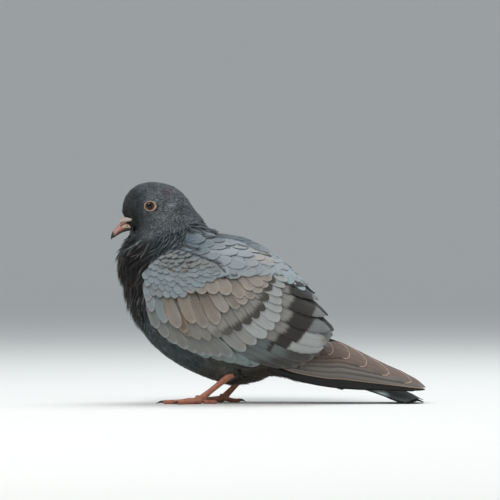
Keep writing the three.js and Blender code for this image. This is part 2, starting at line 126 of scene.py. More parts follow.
WING_LIE = (
    (-92, 105, 0.35, -0.9), (-92, 90, 0.1, -1), (-80, 85, 0.25, -0.97), (-65, 85, 0.36, -0.93),
    (-55, 90, 0.45, -0.88), (-78, 104, 0.6, -0.8), (-66, 110, 0.9, -0.42), (-55, 106, 0.9, -0.4),
    (-44, 98, 0.65, -0.75), (-48, 64, 0.42, -0.9), (-72, 66, 0.42, -0.9), (-62, 50, 0.62, -0.78),
    (-42, 46, 0.64, -0.77), (-24, 56, 0.6, -0.8), (-26, 78, 0.5, -0.87), (-14, 90, 0.55, -0.83),
    (-10, 71, 0.62, -0.78), (-5, 90, 0.85, -0.5), (5, 90, 0.9, -0.45), (0, 62, 0.75, -0.65),
    (24, 92, 0.95, -0.33), (24, 84, 0.97, -0.22), (27, 73, 0.95, -0.3), (27, 61, 0.92, -0.4),
    (19, 53, 0.88, -0.47), (10, 46, 0.87, -0.5), (-6, 44, 0.8, -0.6), (-22, 44, 0.72, -0.7),
    (16, 35, 0.97, -0.2), (-3, 34, 0.9, -0.42),
)
CLOAK_LIE = (
    (-62, 119, 0.95, -0.3), (-36, 117, 0.94, -0.34), (-14, 109, 0.9, -0.42), (8, 101, 0.85, -0.52),
    (30, 85, 0.75, -0.66), (-30, 102, 0.92, -0.4), (-8, 98, 0.93, -0.36), (14, 97, 0.93, -0.36),
) + BACK_LIE[:4]

# ---------------- sums


def smooth_rows(table, places):
    """Reads a table between its rows, along smooth curves through them."""
    table = np.asarray(table, float)
    last = len(table) - 1
    i = np.clip(np.floor(places).astype(int), 0, last - 1)
    t = (places - i)[:, None]
    b, c = table[i], table[i + 1]
    a = np.where((i > 0)[:, None], table[np.maximum(i - 1, 0)], 2 * b - c)
    d = np.where((i + 2 <= last)[:, None], table[np.minimum(i + 2, last)], 2 * c - b)
    bend = (2 * a - 5 * b + 4 * c - d) * t**2 + (3 * b - a - 3 * c + d) * t**3
    return b + 0.5 * ((c - a) * t + bend)


def unit(vectors):
    return vectors / np.maximum(np.linalg.norm(vectors, axis=-1, keepdims=True), 1e-12)


def dot(a, b):
    return (a * b).sum(-1, keepdims=True)


def ease(low, high, value):
    """0 below low, 1 above high, and a smooth step between."""
    t = np.clip((value - low) / (high - low), 0, 1)
    return t * t * (3 - 2 * t)


def mix(a, b, share):
    return a + (b - a) * np.asarray(share)[..., None]


def painted(colour, hues, *coats):
    """Lays coats over a colour in turn, each of them the name of a hue and its share."""
    for hue, share in coats:
        colour = mix(colour, hues[hue], share)
    return colour


def plain(hue, points):
    """One colour, the same at all points."""
    return np.broadcast_to(hue, points.shape)


def bump(a, b):
    """1 where both values are 0, falling off to 0 as they grow past 1."""
    return np.exp(-(a**2) - b**2)


def side_view(points):
    """The x and z of points, in mm."""
    return points[..., 0] / MM, points[..., 2] / MM


def round_turn(count):
    """The angles of this many even steps round a whole turn."""
    return 2 * np.pi * np.arange(count) / count


def spaced(values, share):
    """Reads evenly spaced values at these shares of the way through them."""
    return np.interp(share, np.linspace(0, 1, len(values)), values)


def blur(grid, rows, columns):
    """Smooths a grid by about this many rows and columns; its columns close in a ring."""
    for _ in range(rows):
        inner = (np.roll(grid, 1, 0) + 2 * grid + np.roll(grid, -1, 0)) / 4
        inner[0], inner[-1] = grid[0], grid[-1]
        grid = inner
    for _ in range(columns):
        grid = (np.roll(grid, 1, 1) + 2 * grid + np.roll(grid, -1, 1)) / 4
    return grid


def mottle(points, size, seed):
    """Soft noise from about -1 to 1 at points in metres, with patches of about this size in mm."""
    rng = np.random.default_rng(seed)
    total = 0
    for _ in range(7):
        way = unit(rng.normal(size=3)) * rng.uniform(0.7, 1.4) * np.pi / (size * MM)
        total = total + np.sin(points @ way + rng.uniform(0, 2 * np.pi))
    return total / 3


def shade(code):
    """A colour named by its screen code, as light."""
    values = np.array([int(code[i : i + 2], 16) for i in (0, 2, 4)]) / 255
    return np.where(values <= 0.04045, values / 12.92, ((values + 0.055) / 1.055) ** 2.4)


# ---------------- sheets


def ray_tree(names):
    """A tree of these nodes' triangles, for casting rays at."""
    points, faces = [], []
    for name in names:
        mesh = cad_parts[name].data
        base = len(points)
        points += [v.co.copy() for v in mesh.vertices]
        faces += [[base + i for i in p.vertices] for p in mesh.polygons]
    return BVHTree.FromPolygons(points, faces)


class Sheet:
    """A grid of points over part of the bird. A place on it is a row and a column, both read between its
    lines."""

    def __init__(self, points, ring, outward):
        self.points = points
        self.ring = ring
        self.rows, self.columns = points.shape[:2]
        self.along = np.gradient(points, axis=0)
        if ring:
            self.across = (np.roll(points, -1, 1) - np.roll(points, 1, 1)) / 2
        else:
            self.across = np.gradient(points, axis=1)
        cross = np.cross(self.along, self.across)
        self.area = np.linalg.norm(cross, axis=-1)
        normals = unit(cross)
        normals = normals * np.where((normals * outward).sum(-1, keepdims=True) < 0, -1, 1)
        self.normals = unit(blur(normals, 2, 2)) if ring else normals

    def read(self, grid, row, column):
        """The grid's value at these places."""
        row = np.clip(row, 0, self.rows - 1.001)
        i = row.astype(int)
        f = (row - i)[..., None]
        if self.ring:
            j = np.floor(column).astype(int)
            g = (column - j)[..., None]
            j, k = j % self.columns, (j + 1) % self.columns
        else:
            column = np.clip(column, 0, self.columns - 1.001)
            j = column.astype(int)
            g = (column - j)[..., None]
            k = j + 1
        low = grid[i, j] * (1 - g) + grid[i, k] * g
        high = grid[i + 1, j] * (1 - g) + grid[i + 1, k] * g
        return low * (1 - f) + high * f

    def at(self, row, column):
        return self.read(self.points, row, column), unit(self.read(self.normals, row, column))

    def shift(self, row, column, move):
        """The places reached from these ones by small moves in space."""
        a, b = self.read(self.along, row, column), self.read(self.across, row, column)
        aa, ab, bb = dot(a, a)[..., 0] + 1e-9, dot(a, b)[..., 0], dot(b, b)[..., 0] + 1e-9
        am, bm = dot(a, move)[..., 0], dot(b, move)[..., 0]
        det = aa * bb - ab * ab
        return row + (am * bb - bm * ab) / det, column + (bm * aa - am * ab) / det

    def seen_from(self, side, x, z):
        """The places that show at these x, z in mm when the bird is seen from this side."""
        facing = (self.points[..., 1] * side > 0.002) & (self.normals[..., 1] * side > 0.02)
        i, j = np.nonzero(facing)
        flat = self.points[i, j][:, (0, 2)]
        wanted = np.stack([x, z], 1) * MM
        best = [np.argmin(((flat - target) ** 2).sum(1)) for target in wanted]
        row, column = i[best].astype(float), j[best].astype(float)
        for _ in range(3):
            gap = wanted - self.read(self.points, row, column)[:, (0, 2)]
            a = self.read(self.along, row, column)[:, (0, 2)]
            b = self.read(self.across, row, column)[:, (0, 2)]
            det = a[:, 0] * b[:, 1] - a[:, 1] * b[:, 0]
            det = np.where(np.abs(det) < 1e-8, 1e-8, det)
            down = (gap[:, 0] * b[:, 1] - gap[:, 1] * b[:, 0]) / det
            over = (a[:, 0] * gap[:, 1] - a[:, 1] * gap[:, 0]) / det
            row = np.clip(row + np.clip(down, -1, 1), 0, self.rows - 1.001)
            column = column + np.clip(over, -1, 1)
        return row, column

    def walk(self, row, column, steer, length, marks, back=False):
        """Lines over the surface from these places, with their rows and columns at each mark, a share of
        the length."""
        rows, columns = [row], [column]
        for low, high in zip(marks[:-1], marks[1:]):
            pieces = 3 if high - low > 0.12 else 1
            for _ in range(pieces):
                p, n = self.at(row, column)
                heading = steer(p, n) * (-1 if back else 1)
                row, column = self.shift(row, column, heading * (length * (high - low) / pieces)[:, None])
                row = np.clip(row, 0, self.rows - 1.001)
            rows.append(row)
            columns.append(column)
        return np.stack(rows, 1), np.stack(columns, 1)

    def spread(self, count, density, seed):
        """Places strewn evenly over the surface, more of them where the density is higher."""
        weight = np.maximum(self.area * density(self.points), 1e-15)
        down = np.concatenate([[0], np.cumsum(weight.sum(1))])
        step = np.arange(count) + seed
        a, b = (0.5 + step * 0.7548776662) % 1, (0.5 + step * 0.5698402910) % 1
        row = np.interp(a, down / down[-1], np.arange(self.rows + 1)) - 0.5
        i = np.clip(np.round(row).astype(int), 0, self.rows - 1)
        share = np.cumsum(weight, 1)
        share = share / share[:, -1:]
        found = np.searchsorted((share + np.arange(self.rows)[:, None]).ravel(), i + b * 0.999999)
        j = np.clip(found - i * self.columns, 0, self.columns - 1)
        before = np.where(j > 0, share[i, np.maximum(j - 1, 0)], 0)
        inside = (b - before) / np.maximum(share[i, j] - before, 1e-9)
        rng = np.random.default_rng(seed)
        column = j + np.clip(inside, 0, 1) - 0.5
        row = row + rng.uniform(-0.35, 0.35, count)
        return np.clip(row, 0, self.rows - 1.001), column + rng.uniform(-0.35, 0.35, count)


def reach_of(tree, middle, ways, far):
    """How far each way's outermost surface lies from its row's middle, with gaps where there is none."""
    reach = np.full(ways.shape[:2], np.nan)
    for i, j in np.ndindex(reach.shape):
        way = Vector(ways[i, j])
        hit = tree.ray_cast(Vector(middle[i]) + way * far, -way, far)
        if hit[0] is not None:
            reach[i, j] = far - hit[3]
    return reach


def free_edge(reach, under, columns):
    """Carries the wings' surface on past their lower edges, so that the tips of feathers stand clear of
    the body."""
    half = reach.shape[1] // 2
    step = 1 + 2 * np.arange(half)
    for row in range(len(reach)):
        for way in (1, -1):
            at = (way * np.arange(half)) % reach.shape[1]
            on_wing = np.flatnonzero(~np.isnan(reach[row, at]))
            if not len(on_wing):
                continue
            last = on_wing[-1]
            edge = at[max(last - 3, 0) : last + 1]
            proud = np.nanmean(reach[row, edge] - under[row, edge])
            beyond = at[last + 1 : last + 1 + columns]
            fade = 1 - ease(columns * 0.6, columns, step[: len(beyond)] / 2)
            reach[row, beyond] = under[row, beyond] + max(proud, 0) * fade
    return reach


def wrapped_sheet(names, lines, rows, columns, blur_rows, blur_columns, wings=()):
    """A ring-shaped sheet over these nodes: each row runs round the body, in the plane of one of the
    lines."""
    places = np.linspace(0.02, len(lines) - 1.02, rows)
    ends = smooth_rows(lines, places) * MM
    zero = np.zeros(rows)
    middle = np.stack([(ends[:, 0] + ends[:, 2]) / 2, zero, (ends[:, 1] + ends[:, 3]) / 2], 1)
    up = unit(np.stack([ends[:, 0] - ends[:, 2], zero, ends[:, 1] - ends[:, 3]], 1))
    turn = round_turn(columns)
    ways = np.cos(turn)[None, :, None] * up[:, None, :] + np.sin(turn)[None, :, None] * np.array([0, 1, 0])
    reach = reach_of(ray_tree(names), middle, ways, REACH)
    for i in range(rows):
        bad = np.isnan(reach[i])
        if bad.all():
            reach[i] = reach[i - 1]
        elif bad.any():
            good = np.flatnonzero(~bad)
            reach[i, bad] = np.interp(np.flatnonzero(bad), good, reach[i, good], period=columns)
    shifts = range(-CLOSING, CLOSING + 1)
    reach[CLOSING:-CLOSING] = np.max([np.roll(reach, k, 0) for k in shifts], 0)[CLOSING:-CLOSING]
    inner = slice(2 * CLOSING, -2 * CLOSING)
    reach[inner] = np.min([np.roll(reach, k, 0) for k in shifts], 0)[inner]
    if wings:
        over = reach_of(ray_tree(wings), middle, ways, REACH)
        over = free_edge(over, reach, 16)
        reach = np.fmax(reach, over)
    reach = blur(reach, blur_rows, blur_columns)
    points = middle[:, None, :] + ways * reach[:, :, None]
    return Sheet(points, True, ways)


PANEL_ROWS = 90


def panel_sheet(node, lowest, out, stations, whole=None, rows=PANEL_ROWS, columns=40):
    """A sheet over one face of a thin node. At each station along X the face is read between the section's
    lowest and highest points in this direction, from the side that out points to. Before the station that
    is whole, the face is carried on over the node's missing part, narrowing to the front."""
    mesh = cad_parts[node].data
    tree = ray_tree([node])
    points = np.array([v.co[:] for v in mesh.vertices])
    edges = np.array([e.vertices[:] for e in mesh.edges])
    a, b = points[edges[:, 0]], points[edges[:, 1]]
    shares = np.linspace(0.01, 0.99, columns)
    grid = np.empty((rows, columns, 3))
    for i, x in reversed(list(enumerate(np.linspace(*stations, rows) * MM))):
        crossing = (a[:, 0] - x) * (b[:, 0] - x) < 0
        if not crossing.any():
            grid[i] = grid[i + 1] + (grid[i + 1] - grid[i + 7]) / 6
            continue
        p, q = a[crossing], b[crossing]
        cut = p + (q - p) * ((x - p[:, 0]) / (q[:, 0] - p[:, 0]))[:, None]
        reach = cut @ lowest
        low, high = cut[reach.argmin()], cut[reach.argmax()]
        if whole is not None and x < whole * MM:
            line = low + (grid[i + 1] - grid[i + 1, 0]) * 0.985
            line[:, 0] = x
            away = unit(out)
        else:
            line = low + (high - low) * shares[:, None]
            chord = unit(high - low)
            away = unit(out - (out @ chord) * chord)
        stand = 0.0
        for j, at in enumerate(line):
            hit = tree.ray_cast(Vector(at + away * 0.03), Vector(-away), 0.06)
            if hit[0] is not None:
                stand = (np.array(hit[0][:]) - at) @ away
            grid[i, j] = at + away * stand
    for _ in range(3):
        grid[1:-1] = (grid[:-2] + 2 * grid[1:-1] + grid[2:]) / 4
        grid[:, 1:-1] = (grid[:, :-2] + 2 * grid[:, 1:-1] + grid[:, 2:]) / 4
    return Sheet(grid, False, out)


def lie_on(table, reach):
    """A function that gives the heading of the feathers at points with normals, read between a table's
    guides."""
    table = np.asarray(table, float)
    heading = unit(table[:, 2:])

    def steer(points, normals):
        flat = points[..., (0, 2)].reshape(-1, 2) / MM
        gap = ((flat[:, None, :] - table[None, :, :2]) ** 2).sum(-1)
        way = (1 / (gap + reach**2) ** 2) @ heading
        way = np.stack([way[:, 0], np.zeros(len(way)), way[:, 1]], 1).reshape(points.shape)
        way = unit(way)
        return unit(way - dot(way, normals) * normals)

    return steer


_made = {}


def once(key, make):
    """What make() gives, made only the first time it is asked for."""
    if key not in _made:
        _made[key] = make()
    return _made[key]


def body_sheet():
    names = FLESH + ("eye_left", "eye_right")
    return once("body", lambda: wrapped_sheet(names, BODY_LINES, 300, 168, 3, 3))


def wing_sheet():
    """The wings' surface, carried on past their lower edges."""
    return once("wing", lambda: wrapped_sheet(("trunk", "neck"), WING_LINES, 260, 200, 2, 2, WING_NODES))


def cloak_sheet():
    """The surface of the back and the wings together."""
    return once("cloak", lambda: wrapped_sheet(("trunk", "neck") + WING_NODES, WING_LINES, 260, 200, 5, 5))


# ---------------- colours

HUES = {
    "crown": "52585c", "face": "33383a", "lores": "1f2121", "cheek": "474c4d", "ear": "5b5f5e",
    "plum": "54494f", "nape": "35393b", "neck": "2b2a2b", "sheen": "465054", "throat": "1d1917",
    "breast": "40494b", "belly": "4a4b46", "flank": "433c34", "vent": "2b2a28", "mantle": "45525a",
    "rump": "6d7376",
}
# Among the wing's hues, the near-black and the dark brown next to the plain brown are painted shade;
# partly the lowest secondaries' own dark and partly painted shadow under the wing's lower edge.
# the soft bar's hue is the first bar's own colour and also painted shade in gaps, and the low hue is
WING_HUES = {
    "lesser": "7a8488", "dun": "70706e", "pale": "8a9296", "scapular": "858c90", "tan": "807a73",
    "ash": "939694", "grey": "72736f", "base": "807e79", "brown": "5f5850", "brown_shadow": "5c4434",
    "rim": "a39b91", "white": "a4aaab", "bar": "262320", "bar_soft_and_shadow": "3b3733", "tip": "6c6f6f",
    "low": "3e3d3a", "mist": "74807f", "primary": "675349", "primary_grey": "6d6761", "buff": "a58a76",
    "tail": "1b1f21", "hoar": "8fa1a6", "snow": "c3ced1", "shadow_black": "131312",
}
HUE = {name: shade(code) for name, code in {**HUES, **WING_HUES}.items()}


def on_head(points):
    """How far, in mm, points lie up the head from its join with the neck."""
    x, z = side_view(points)
    return -0.407 * (x + 80) + 0.914 * (z - 138)


def on_neck(points):
    """How far, in mm, points lie up the neck from its join with the trunk."""
    x, z = side_view(points)
    return -0.656 * (x + 78) + 0.755 * (z - 103)


# The folded wing's edges on the body: along X at these heights, and its lower edge's height along X.
WING_FRONT = (
    (40, -62), (50, -76), (60, -84), (75, -91), (90, -94.5), (101, -91.5), (109, -82.5), (119, -70),
    (134, -46),
)
WING_LOW = (
    (-84, 60), (-76, 50), (-62, 40), (-50, 36), (-27, 31), (-16, 28), (-5, 25), (10, 20), (30, 15), (60, 10),
)


def bare_of_wing(points):
    """1 where the body's own feathers can be seen, and 0 well inside the folded wing."""
    x, z = side_view(points)
    behind = x > np.interp(z, *np.transpose(WING_FRONT)) + 4
    above = z > np.interp(x, *np.transpose(WING_LOW)) + 2.5
    return 1 - (behind & above)


def body_hue(points):
    """The plumage's colour at points in metres, the same for the skin and for the feathers on it."""
    x, z = side_view(points)
    above_head, above_neck = on_head(points), on_neck(points)
    back = ease(96, 112, z + 0.62 * (x + 30))
    neck = ease(-26, 2, above_neck + 8 * mottle(points, 9, 3))
    head = ease(-10, 6, above_head + 2 * mottle(points, 5, 4))
    ear = bump((x + 79) / 8, (z - 148) / 5.5)
    streak = bump((x + 77) / 5, (z - 151 - 0.45 * (x + 77)) / 1.6)
    lores = ease(-97, -104, x) * ease(151, 143, z) * ease(131, 136, z)
    colour = painted(
        plain(HUE["belly"], points),
        HUE,
        ("breast", ease(-46, -64, x) * ease(22, 36, z)),
        ("flank", ease(-45, -15, x) * ease(60, 35, z)),
        ("vent", ease(5, 25, x)),
        ("mantle", back * ease(8, -4, above_neck)),
        ("rump", back * ease(10, 30, x)),
        ("neck", neck),
        ("sheen", neck * ease(-92, -80, x) * ease(98, 108, z) * 0.9),
        ("throat", neck * ease(-84, -100, x) * ease(84, 100, z)),
        ("crown", head),
        ("nape", head * ease(-82, -62, x) * ease(162, 146, z)),
        ("plum", head * 0.45 * ease(0.1, 0.8, mottle(points, 10, 8)) * ease(150, 160, z)),
        ("cheek", head * ease(150, 138, z) * 0.8),
        ("ear", head * ear * (0.6 + 0.4 * mottle(points, 4, 9))),
        ("scapular", head * streak * 0.4),
        ("face", head * ease(-88, -102, x) * ease(168, 156, z)),
        ("lores", head * lores),
    )
    return colour * np.clip(1 + 0.2 * mottle(points, 7, 5) + 0.14 * mottle(points, 2.4, 6), 0.3, 2)[..., None]


# ---------------- meshes


def mesh_piece(name, points, faces, colours, vane=None, places=None):
    """A mesh object from arrays, with a colour, a place on its vane and a place on the bake's map for each
    point."""
    mesh = bpy.data.meshes.new(name)
    points, faces = points.reshape(-1, 3), np.asarray(faces, np.int32)
    sides = faces.shape[1]
    mesh.vertices.add(len(points))
    mesh.vertices.foreach_set("co", points.astype(np.float32).ravel())
    mesh.loops.add(faces.size)
    mesh.loops.foreach_set("vertex_index", faces.ravel())
    mesh.polygons.add(len(faces))
    mesh.polygons.foreach_set("loop_start", np.arange(0, faces.size, sides, dtype=np.int32))
    mesh.polygons.foreach_set("use_smooth", np.ones(len(faces), bool))
    mesh.update(calc_edges=True)
    tint = mesh.color_attributes.new("tint", "FLOAT_COLOR", "POINT")
    rgba = np.ones((len(points), 4), np.float32)
    rgba[:, :3] = np.clip(colours.reshape(-1, 3), 0.002, 1)
    tint.data.foreach_set("color", rgba.ravel())
    if vane is not None:
        mark = mesh.attributes.new("vane", "FLOAT_VECTOR", "POINT")
        mark.data.foreach_set("vector", vane.reshape(-1, 3).astype(np.float32).ravel())
    if places is not None:
        layer = mesh.uv_layers.new(name="OFBake")
        layer.uv.foreach_set("vector", places.reshape(-1, 2)[faces.ravel()].astype(np.float32).ravel())
    piece = bpy.data.objects.new(name, mesh)
    bpy.context.scene.collection.objects.link(piece)
    return piece


def settle(piece, material, slot, *nodes):
    """Gives a piece its material and body, and hides the solids that it stands for. The slot is not used."""
    piece.data.materials.append(material)
    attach(piece, "root")
    if nodes:
        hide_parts(*nodes)
    return piece


def strip_faces(count, stations, columns):
    """Quads of many like strips, each with its own stations and columns of points."""
    i, j = np.meshgrid(np.arange(stations - 1), np.arange(columns - 1), indexing="ij")
    first = (i * columns + j).ravel()
    one = np.stack([first, first + 1, first + columns + 1, first + columns], 1)
    return (one[None] + (np.arange(count) * stations * columns)[:, None, None]).reshape(-1, 4)


def map_places(sheet, row, column):
    """Places on the bake's map, an unwrap of the skin's own rows and columns."""
    return np.stack([column / sheet.columns % 1, row / sheet.rows], -1) * 0.98 + 0.01


def closed_ring(points, colours):
    """Points, faces, colours and map of a closed mesh from rings of points, with a fan over each end."""
    rows, columns = points.shape[:2]
    i, j = np.meshgrid(np.arange(rows - 1), np.arange(columns), indexing="ij")
    a, b = i * columns + j, i * columns + (j + 1) % columns
    sides = np.concatenate(
        [
            np.stack([a, b, b + columns], -1).reshape(-1, 3),
            np.stack([a, b + columns, a + columns], -1).reshape(-1, 3)
        ]
    )
    ring, last = np.arange(columns), rows * columns
    after = (ring + 1) % columns
    low = np.stack([after, ring, np.full(columns, last)], 1)
    high = np.stack([last - columns + ring, last - columns + after, np.full(columns, last + 1)], 1)
    grid = np.stack(np.meshgrid(np.arange(columns) / columns, np.arange(rows) / rows), -1).reshape(-1, 2)
    return (
        np.concatenate([points.reshape(-1, 3), points[:1].mean(1), points[-1:].mean(1)]),
        np.concatenate([sides, low, high]),
        np.concatenate([colours.reshape(-1, 3), colours[:1].mean(1), colours[-1:].mean(1)]),
        np.concatenate([grid, [[0.5, 0], [0.5, 1]]]) * 0.98 + 0.01,
    )


def ring_piece(name, points, colours):
    shape, faces, tones, places = closed_ring(points, colours)
    return mesh_piece(name, shape, faces, tones, None, places)


def core_piece(name, node, depth, centre=None, rear=1.0, hue="shadow_black"):
    """A solid of the frame, made thinner by this depth all round, or only where it faces away from a
    centre. Past this rear along X it is drawn in, clear of the feathers' tips. It takes one dark hue,
    painted shade where it shows between the feathers over it."""
    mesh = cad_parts[node].data
    points = np.array([v.co[:] for v in mesh.vertices])
    _, first, same = np.unique(np.round(points, 6), axis=0, return_index=True, return_inverse=True)
    same = same.ravel()
    normals = np.zeros((len(first), 3))
    faces = []
    for polygon in mesh.polygons:
        corners = same[list(polygon.vertices)]
        faces += [(corners[0], a, b) for a, b in zip(corners[1:-1], corners[2:])]
        normals[corners] += np.array(polygon.normal) * polygon.area
    normals = unit(normals)
    inner = points[first]
    share = 1 if centre is None else ease(-0.2, 0.3, (normals * unit(inner - centre)).sum(-1))[:, None]
    inner = inner - normals * share * depth * MM
    inner[:, 0] -= np.maximum(inner[:, 0] - rear, 0) * 0.7
    # One dark hue, painted shade where the core shows between the feathers over it.
    return mesh_piece(name, inner, np.array(faces), plain(HUE[hue], inner))


# ---------------- tufts


def tufts(
    sheet, row, column, steer, length, width, lift, strands, marks, fan, seed, sweep=0.25, spike=0.25,
    width_end=3, clump=0.0, swell=0.2,
):
    """Tufts of narrow barbs on a sheet. lift is the height in mm of root and tip over the sheet, fan how
    far the barbs part at the tip, spike how far they stand up or down on their own, clump how far tufts
    are turned together, and swell how much higher a tuft's middle stands than its sides."""
    rng = np.random.default_rng(seed)
    count = len(row)
    turned = (rng.normal(0, sweep, count) + clump * mottle(sheet.at(row, column)[0], 8, seed))[:, None]

    def steered(p, n):
        way = steer(p, n)
        return unit(way + np.cross(n, way) * turned)

    rows, columns = sheet.walk(row, column, steered, length, marks)
    p, n = sheet.at(rows, columns)
    way = unit(np.gradient(p, axis=1))
    side = unit(np.cross(n, way))
    t = np.asarray(marks)[None, :, None]
    low, high = (np.broadcast_to(v, (count,))[:, None, None] for v in lift)
    grow = (low + (high - low) * t**1.2) * MM
    body = width[:, None, None] * (0.55 + 0.45 * np.sin(np.pi * np.clip(t * 0.9 + 0.1, 0, 1)))
    points, vane = [], []
    for offset in np.linspace(-1, 1, strands):
        stray = rng.normal(0, 0.14, (count, 1, 1)) * t
        middle = p + side * (body * (offset * (0.42 + fan * t) + stray))
        own = rng.uniform(-spike, spike, (count, 1, 1)) * MM * t
        middle = middle + n * (grow + own + swell * MM * (1 - offset**2))
        span = width[:, None, None] / strands * 1.3 * np.clip(1.04 - t**width_end, 0.05, 1)
        ridge = n * (0.32 * span * (1 - 0.5 * t))
        strip = np.stack([middle - side * span / 2, middle + ridge, middle + side * span / 2], 2)
        mark = np.empty(strip.shape)
        mark[..., 0] = t
        mark[..., 1] = np.array([0, 0.5, 1])[None, None, :]
        mark[..., 2] = rng.uniform(0, 1, (count, 1, 1))
        points.append(strip)
        vane.append(mark)
    points, vane = np.stack(points, 1), np.stack(vane, 1)
    spot = (vane[..., 1::-1] - 0.5) * PATCH
    order = np.arange(strands)[None, :, None, None] - (strands - 1) / 2
    spot[..., 0] = (spot[..., 0] + order * PATCH) / strands
    places = map_places(sheet, row, column)[:, None, None, None, :] + spot
    return points, vane, places, p[:, 0]


def tuft_tones(made, tone, root_shade, tip_highlight, each=0.0, side_shade=0.0, seed=5):
    """Colours for tufts: the plumage's at their roots, with painted shade deep down and on each tuft's
    outer barbs, and a painted highlight along the barbs' ridges towards the tips. Each barb has its
    own tone, and so has each tuft."""
    points, vane, _, roots = made
    base = body_hue(roots)[:, None, None, None, :]
    t, own = vane[..., 0:1], vane[..., 2:3]
    ridge = 1 - np.abs(vane[..., 1:2] - 0.5) * 2
    # Painted shade deep down, a painted highlight on the ridges towards the tips, and each barb's tone.
    light = (1 - root_shade * (1 - t) ** 1.5) * (1 + tip_highlight * t * ridge) * (1 + tone * (own - 0.5) * 2)
    own_tone = 1 + each * (3 * np.random.default_rng(seed).uniform(0, 1, len(roots)) ** 2.5 - 0.8)
    # The outer barbs of each tuft are darkened as painted shade.
    sides = 1 - side_shade * np.linspace(-1, 1, points.shape[1]) ** 2
    return base * light * own_tone[:, None, None, None, None] * sides[None, :, None, None, None]


def tuft_pieces(name, made, colours, material, slot):
    """One piece of tufts for each side of the bird."""
    points, vane, places, roots = made
    for side_name, side in SIDES.items():
        mine = roots[:, 1] * side > 0 if side > 0 else roots[:, 1] <= 0
        shape = points[mine]
        faces = strip_faces(shape.shape[0] * shape.shape[1], *shape.shape[2:4])
        piece = mesh_piece(f"{name}_{side_name}", shape, faces, colours[mine], vane[mine], places[mine])
        settle(piece, material, slot)


# ---------------- vanes

ACROSS = np.array([-1, -0.93, -0.8, -0.5, -0.2, 0, 0.2, 0.5, 0.8, 0.93, 1])
ALONG = np.array([0, 0.14, 0.28, 0.4, 0.51, 0.61, 0.7, 0.77, 0.83, 0.88, 0.92, 0.95, 0.972, 0.988, 1])
FINE = 1 - (1 - np.linspace(0, 1, 60)) ** 1.25  # stations for the long feathers


def vane_width(t, root, widest, blunt):
    """Half a vane's width along it, as a share of the widest: narrow at the root and rounded at the tip."""
    rise = root + (1 - root) * np.sin(np.pi / 2 * np.clip(t / widest, 0, 1))
    fall = np.clip(1 - np.clip((t - widest) / (1 - widest), 0, 1) ** blunt, 0, 1) ** 0.5
    return np.where(t < widest, rise, np.maximum(fall, 0.03))


def lay_vanes(sheet, rows, columns, half, lift, tilt, side, profile, camber=0.25, seed=1, along=ALONG):
    """Vanes on a sheet along these lines, of places by feather and by station. side is -1 or 1 for each
    feather, half is half its width, and tilt raises the edge farther from the back, so that each vane lies
    over the one below it."""
    rng = np.random.default_rng(seed)
    count = len(rows)
    p, n = sheet.at(rows, columns)
    way = unit(np.gradient(p, axis=1))
    down = unit(np.cross(n, way)) * np.asarray(side, float)[:, None, None]
    t, s = along[None, :, None], ACROSS[None, None, :]
    phase = rng.uniform(0, 2 * np.pi, (count, 1, 1)) + 2 * np.sign(s)
    ragged = 1 + 0.03 * np.sin(31 * t + phase) + 0.03 * np.sin(67 * t + 2 * phase)
    reach = half[:, None, None] * vane_width(t, *profile) * s * ragged
    wide = len(ACROSS)
    starts = [np.repeat(places[:, :, None], wide, 2) for places in (rows, columns)]
    q, m = sheet.at(*sheet.shift(*starts, down[:, :, None, :] * reach[..., None]))
    low, high = lift
    own = rng.uniform(-0.15, 0.15, (count, 1, 1)) + rng.uniform(-0.12, 0.12, (count, 1, 1)) * s
    up = low + (high - low) * t + own * t + (tilt * s + camber * (1 - s**2)) * np.clip(3 * t, 0, 1)
    points = q + m * (up * MM)[..., None]
    vane = np.empty(points.shape)
    vane[..., 0], vane[..., 1] = t, 0.5 + 0.5 * s
    vane[..., 2] = rng.uniform(0, 1, count)[:, None, None]
    return points, vane, map_places(sheet, rows[:, 0], columns[:, 0])


class Vanes:
    """Vanes gathered for one piece, with their colours."""

    def __init__(self):
        self.parts = []

    def add(self, made, colours):
        self.parts.append((*made, colours))

    def piece(self, name, keep=None):
        """One mesh of them all. On the bake's map each vane has a cell, and the cells follow the vanes'
        places."""
        parts = self.parts
        if keep is not None:
            chosen = [keep(part[0][:, 0, len(ACROSS) // 2]) for part in parts]
            parts = [[values[mine] for values in part] for part, mine in zip(parts, chosen)]
        roots = np.concatenate([part[2] for part in parts])
        cells = int(np.ceil(len(roots) ** 0.5))
        rank = np.empty(len(roots), int)
        rank[np.lexsort((roots[:, 0], np.round(roots[:, 1] * cells)))] = np.arange(len(roots))
        faces, places, first, done = [], [], 0, 0
        for points, vane, _, _ in parts:
            cell = rank[done : done + len(points)]
            corner = np.stack([cell % cells, cell // cells], 1)[:, None, None, :]
            places.append(((corner + 0.04 + 0.92 * vane[..., 1::-1]) / cells).reshape(-1, 2))
            faces.append(strip_faces(*points.shape[:3]) + first)
            first += points[..., 0].size
            done += len(points)
        shape, mark, tones = (np.concatenate([part[k].reshape(-1, 3) for part in parts]) for k in (0, 1, 3))
        return mesh_piece(name, shape, np.concatenate(faces), tones, mark, np.concatenate(places))


def row_tips(curve, widths, stagger):
    """Tips along a smooth curve through x, z points, spaced by their own widths."""
    fine = smooth_rows(curve, np.linspace(0, len(curve) - 1, 400))
    gone = np.concatenate([[0], np.cumsum(np.linalg.norm(np.diff(fine, axis=0), axis=1))])
    share = gone / gone[-1]
    feathers = np.concatenate([[0], np.cumsum(np.diff(gone) / (spaced(widths, share[1:]) * OVERLAP))])
    count = max(int(round(feathers[-1])), 2)
    at = np.interp((np.arange(count) + 0.5 + stagger) / count, feathers / feathers[-1], share)
    return np.interp(at, share, fine[:, 0]), np.interp(at, share, fine[:, 1]), at


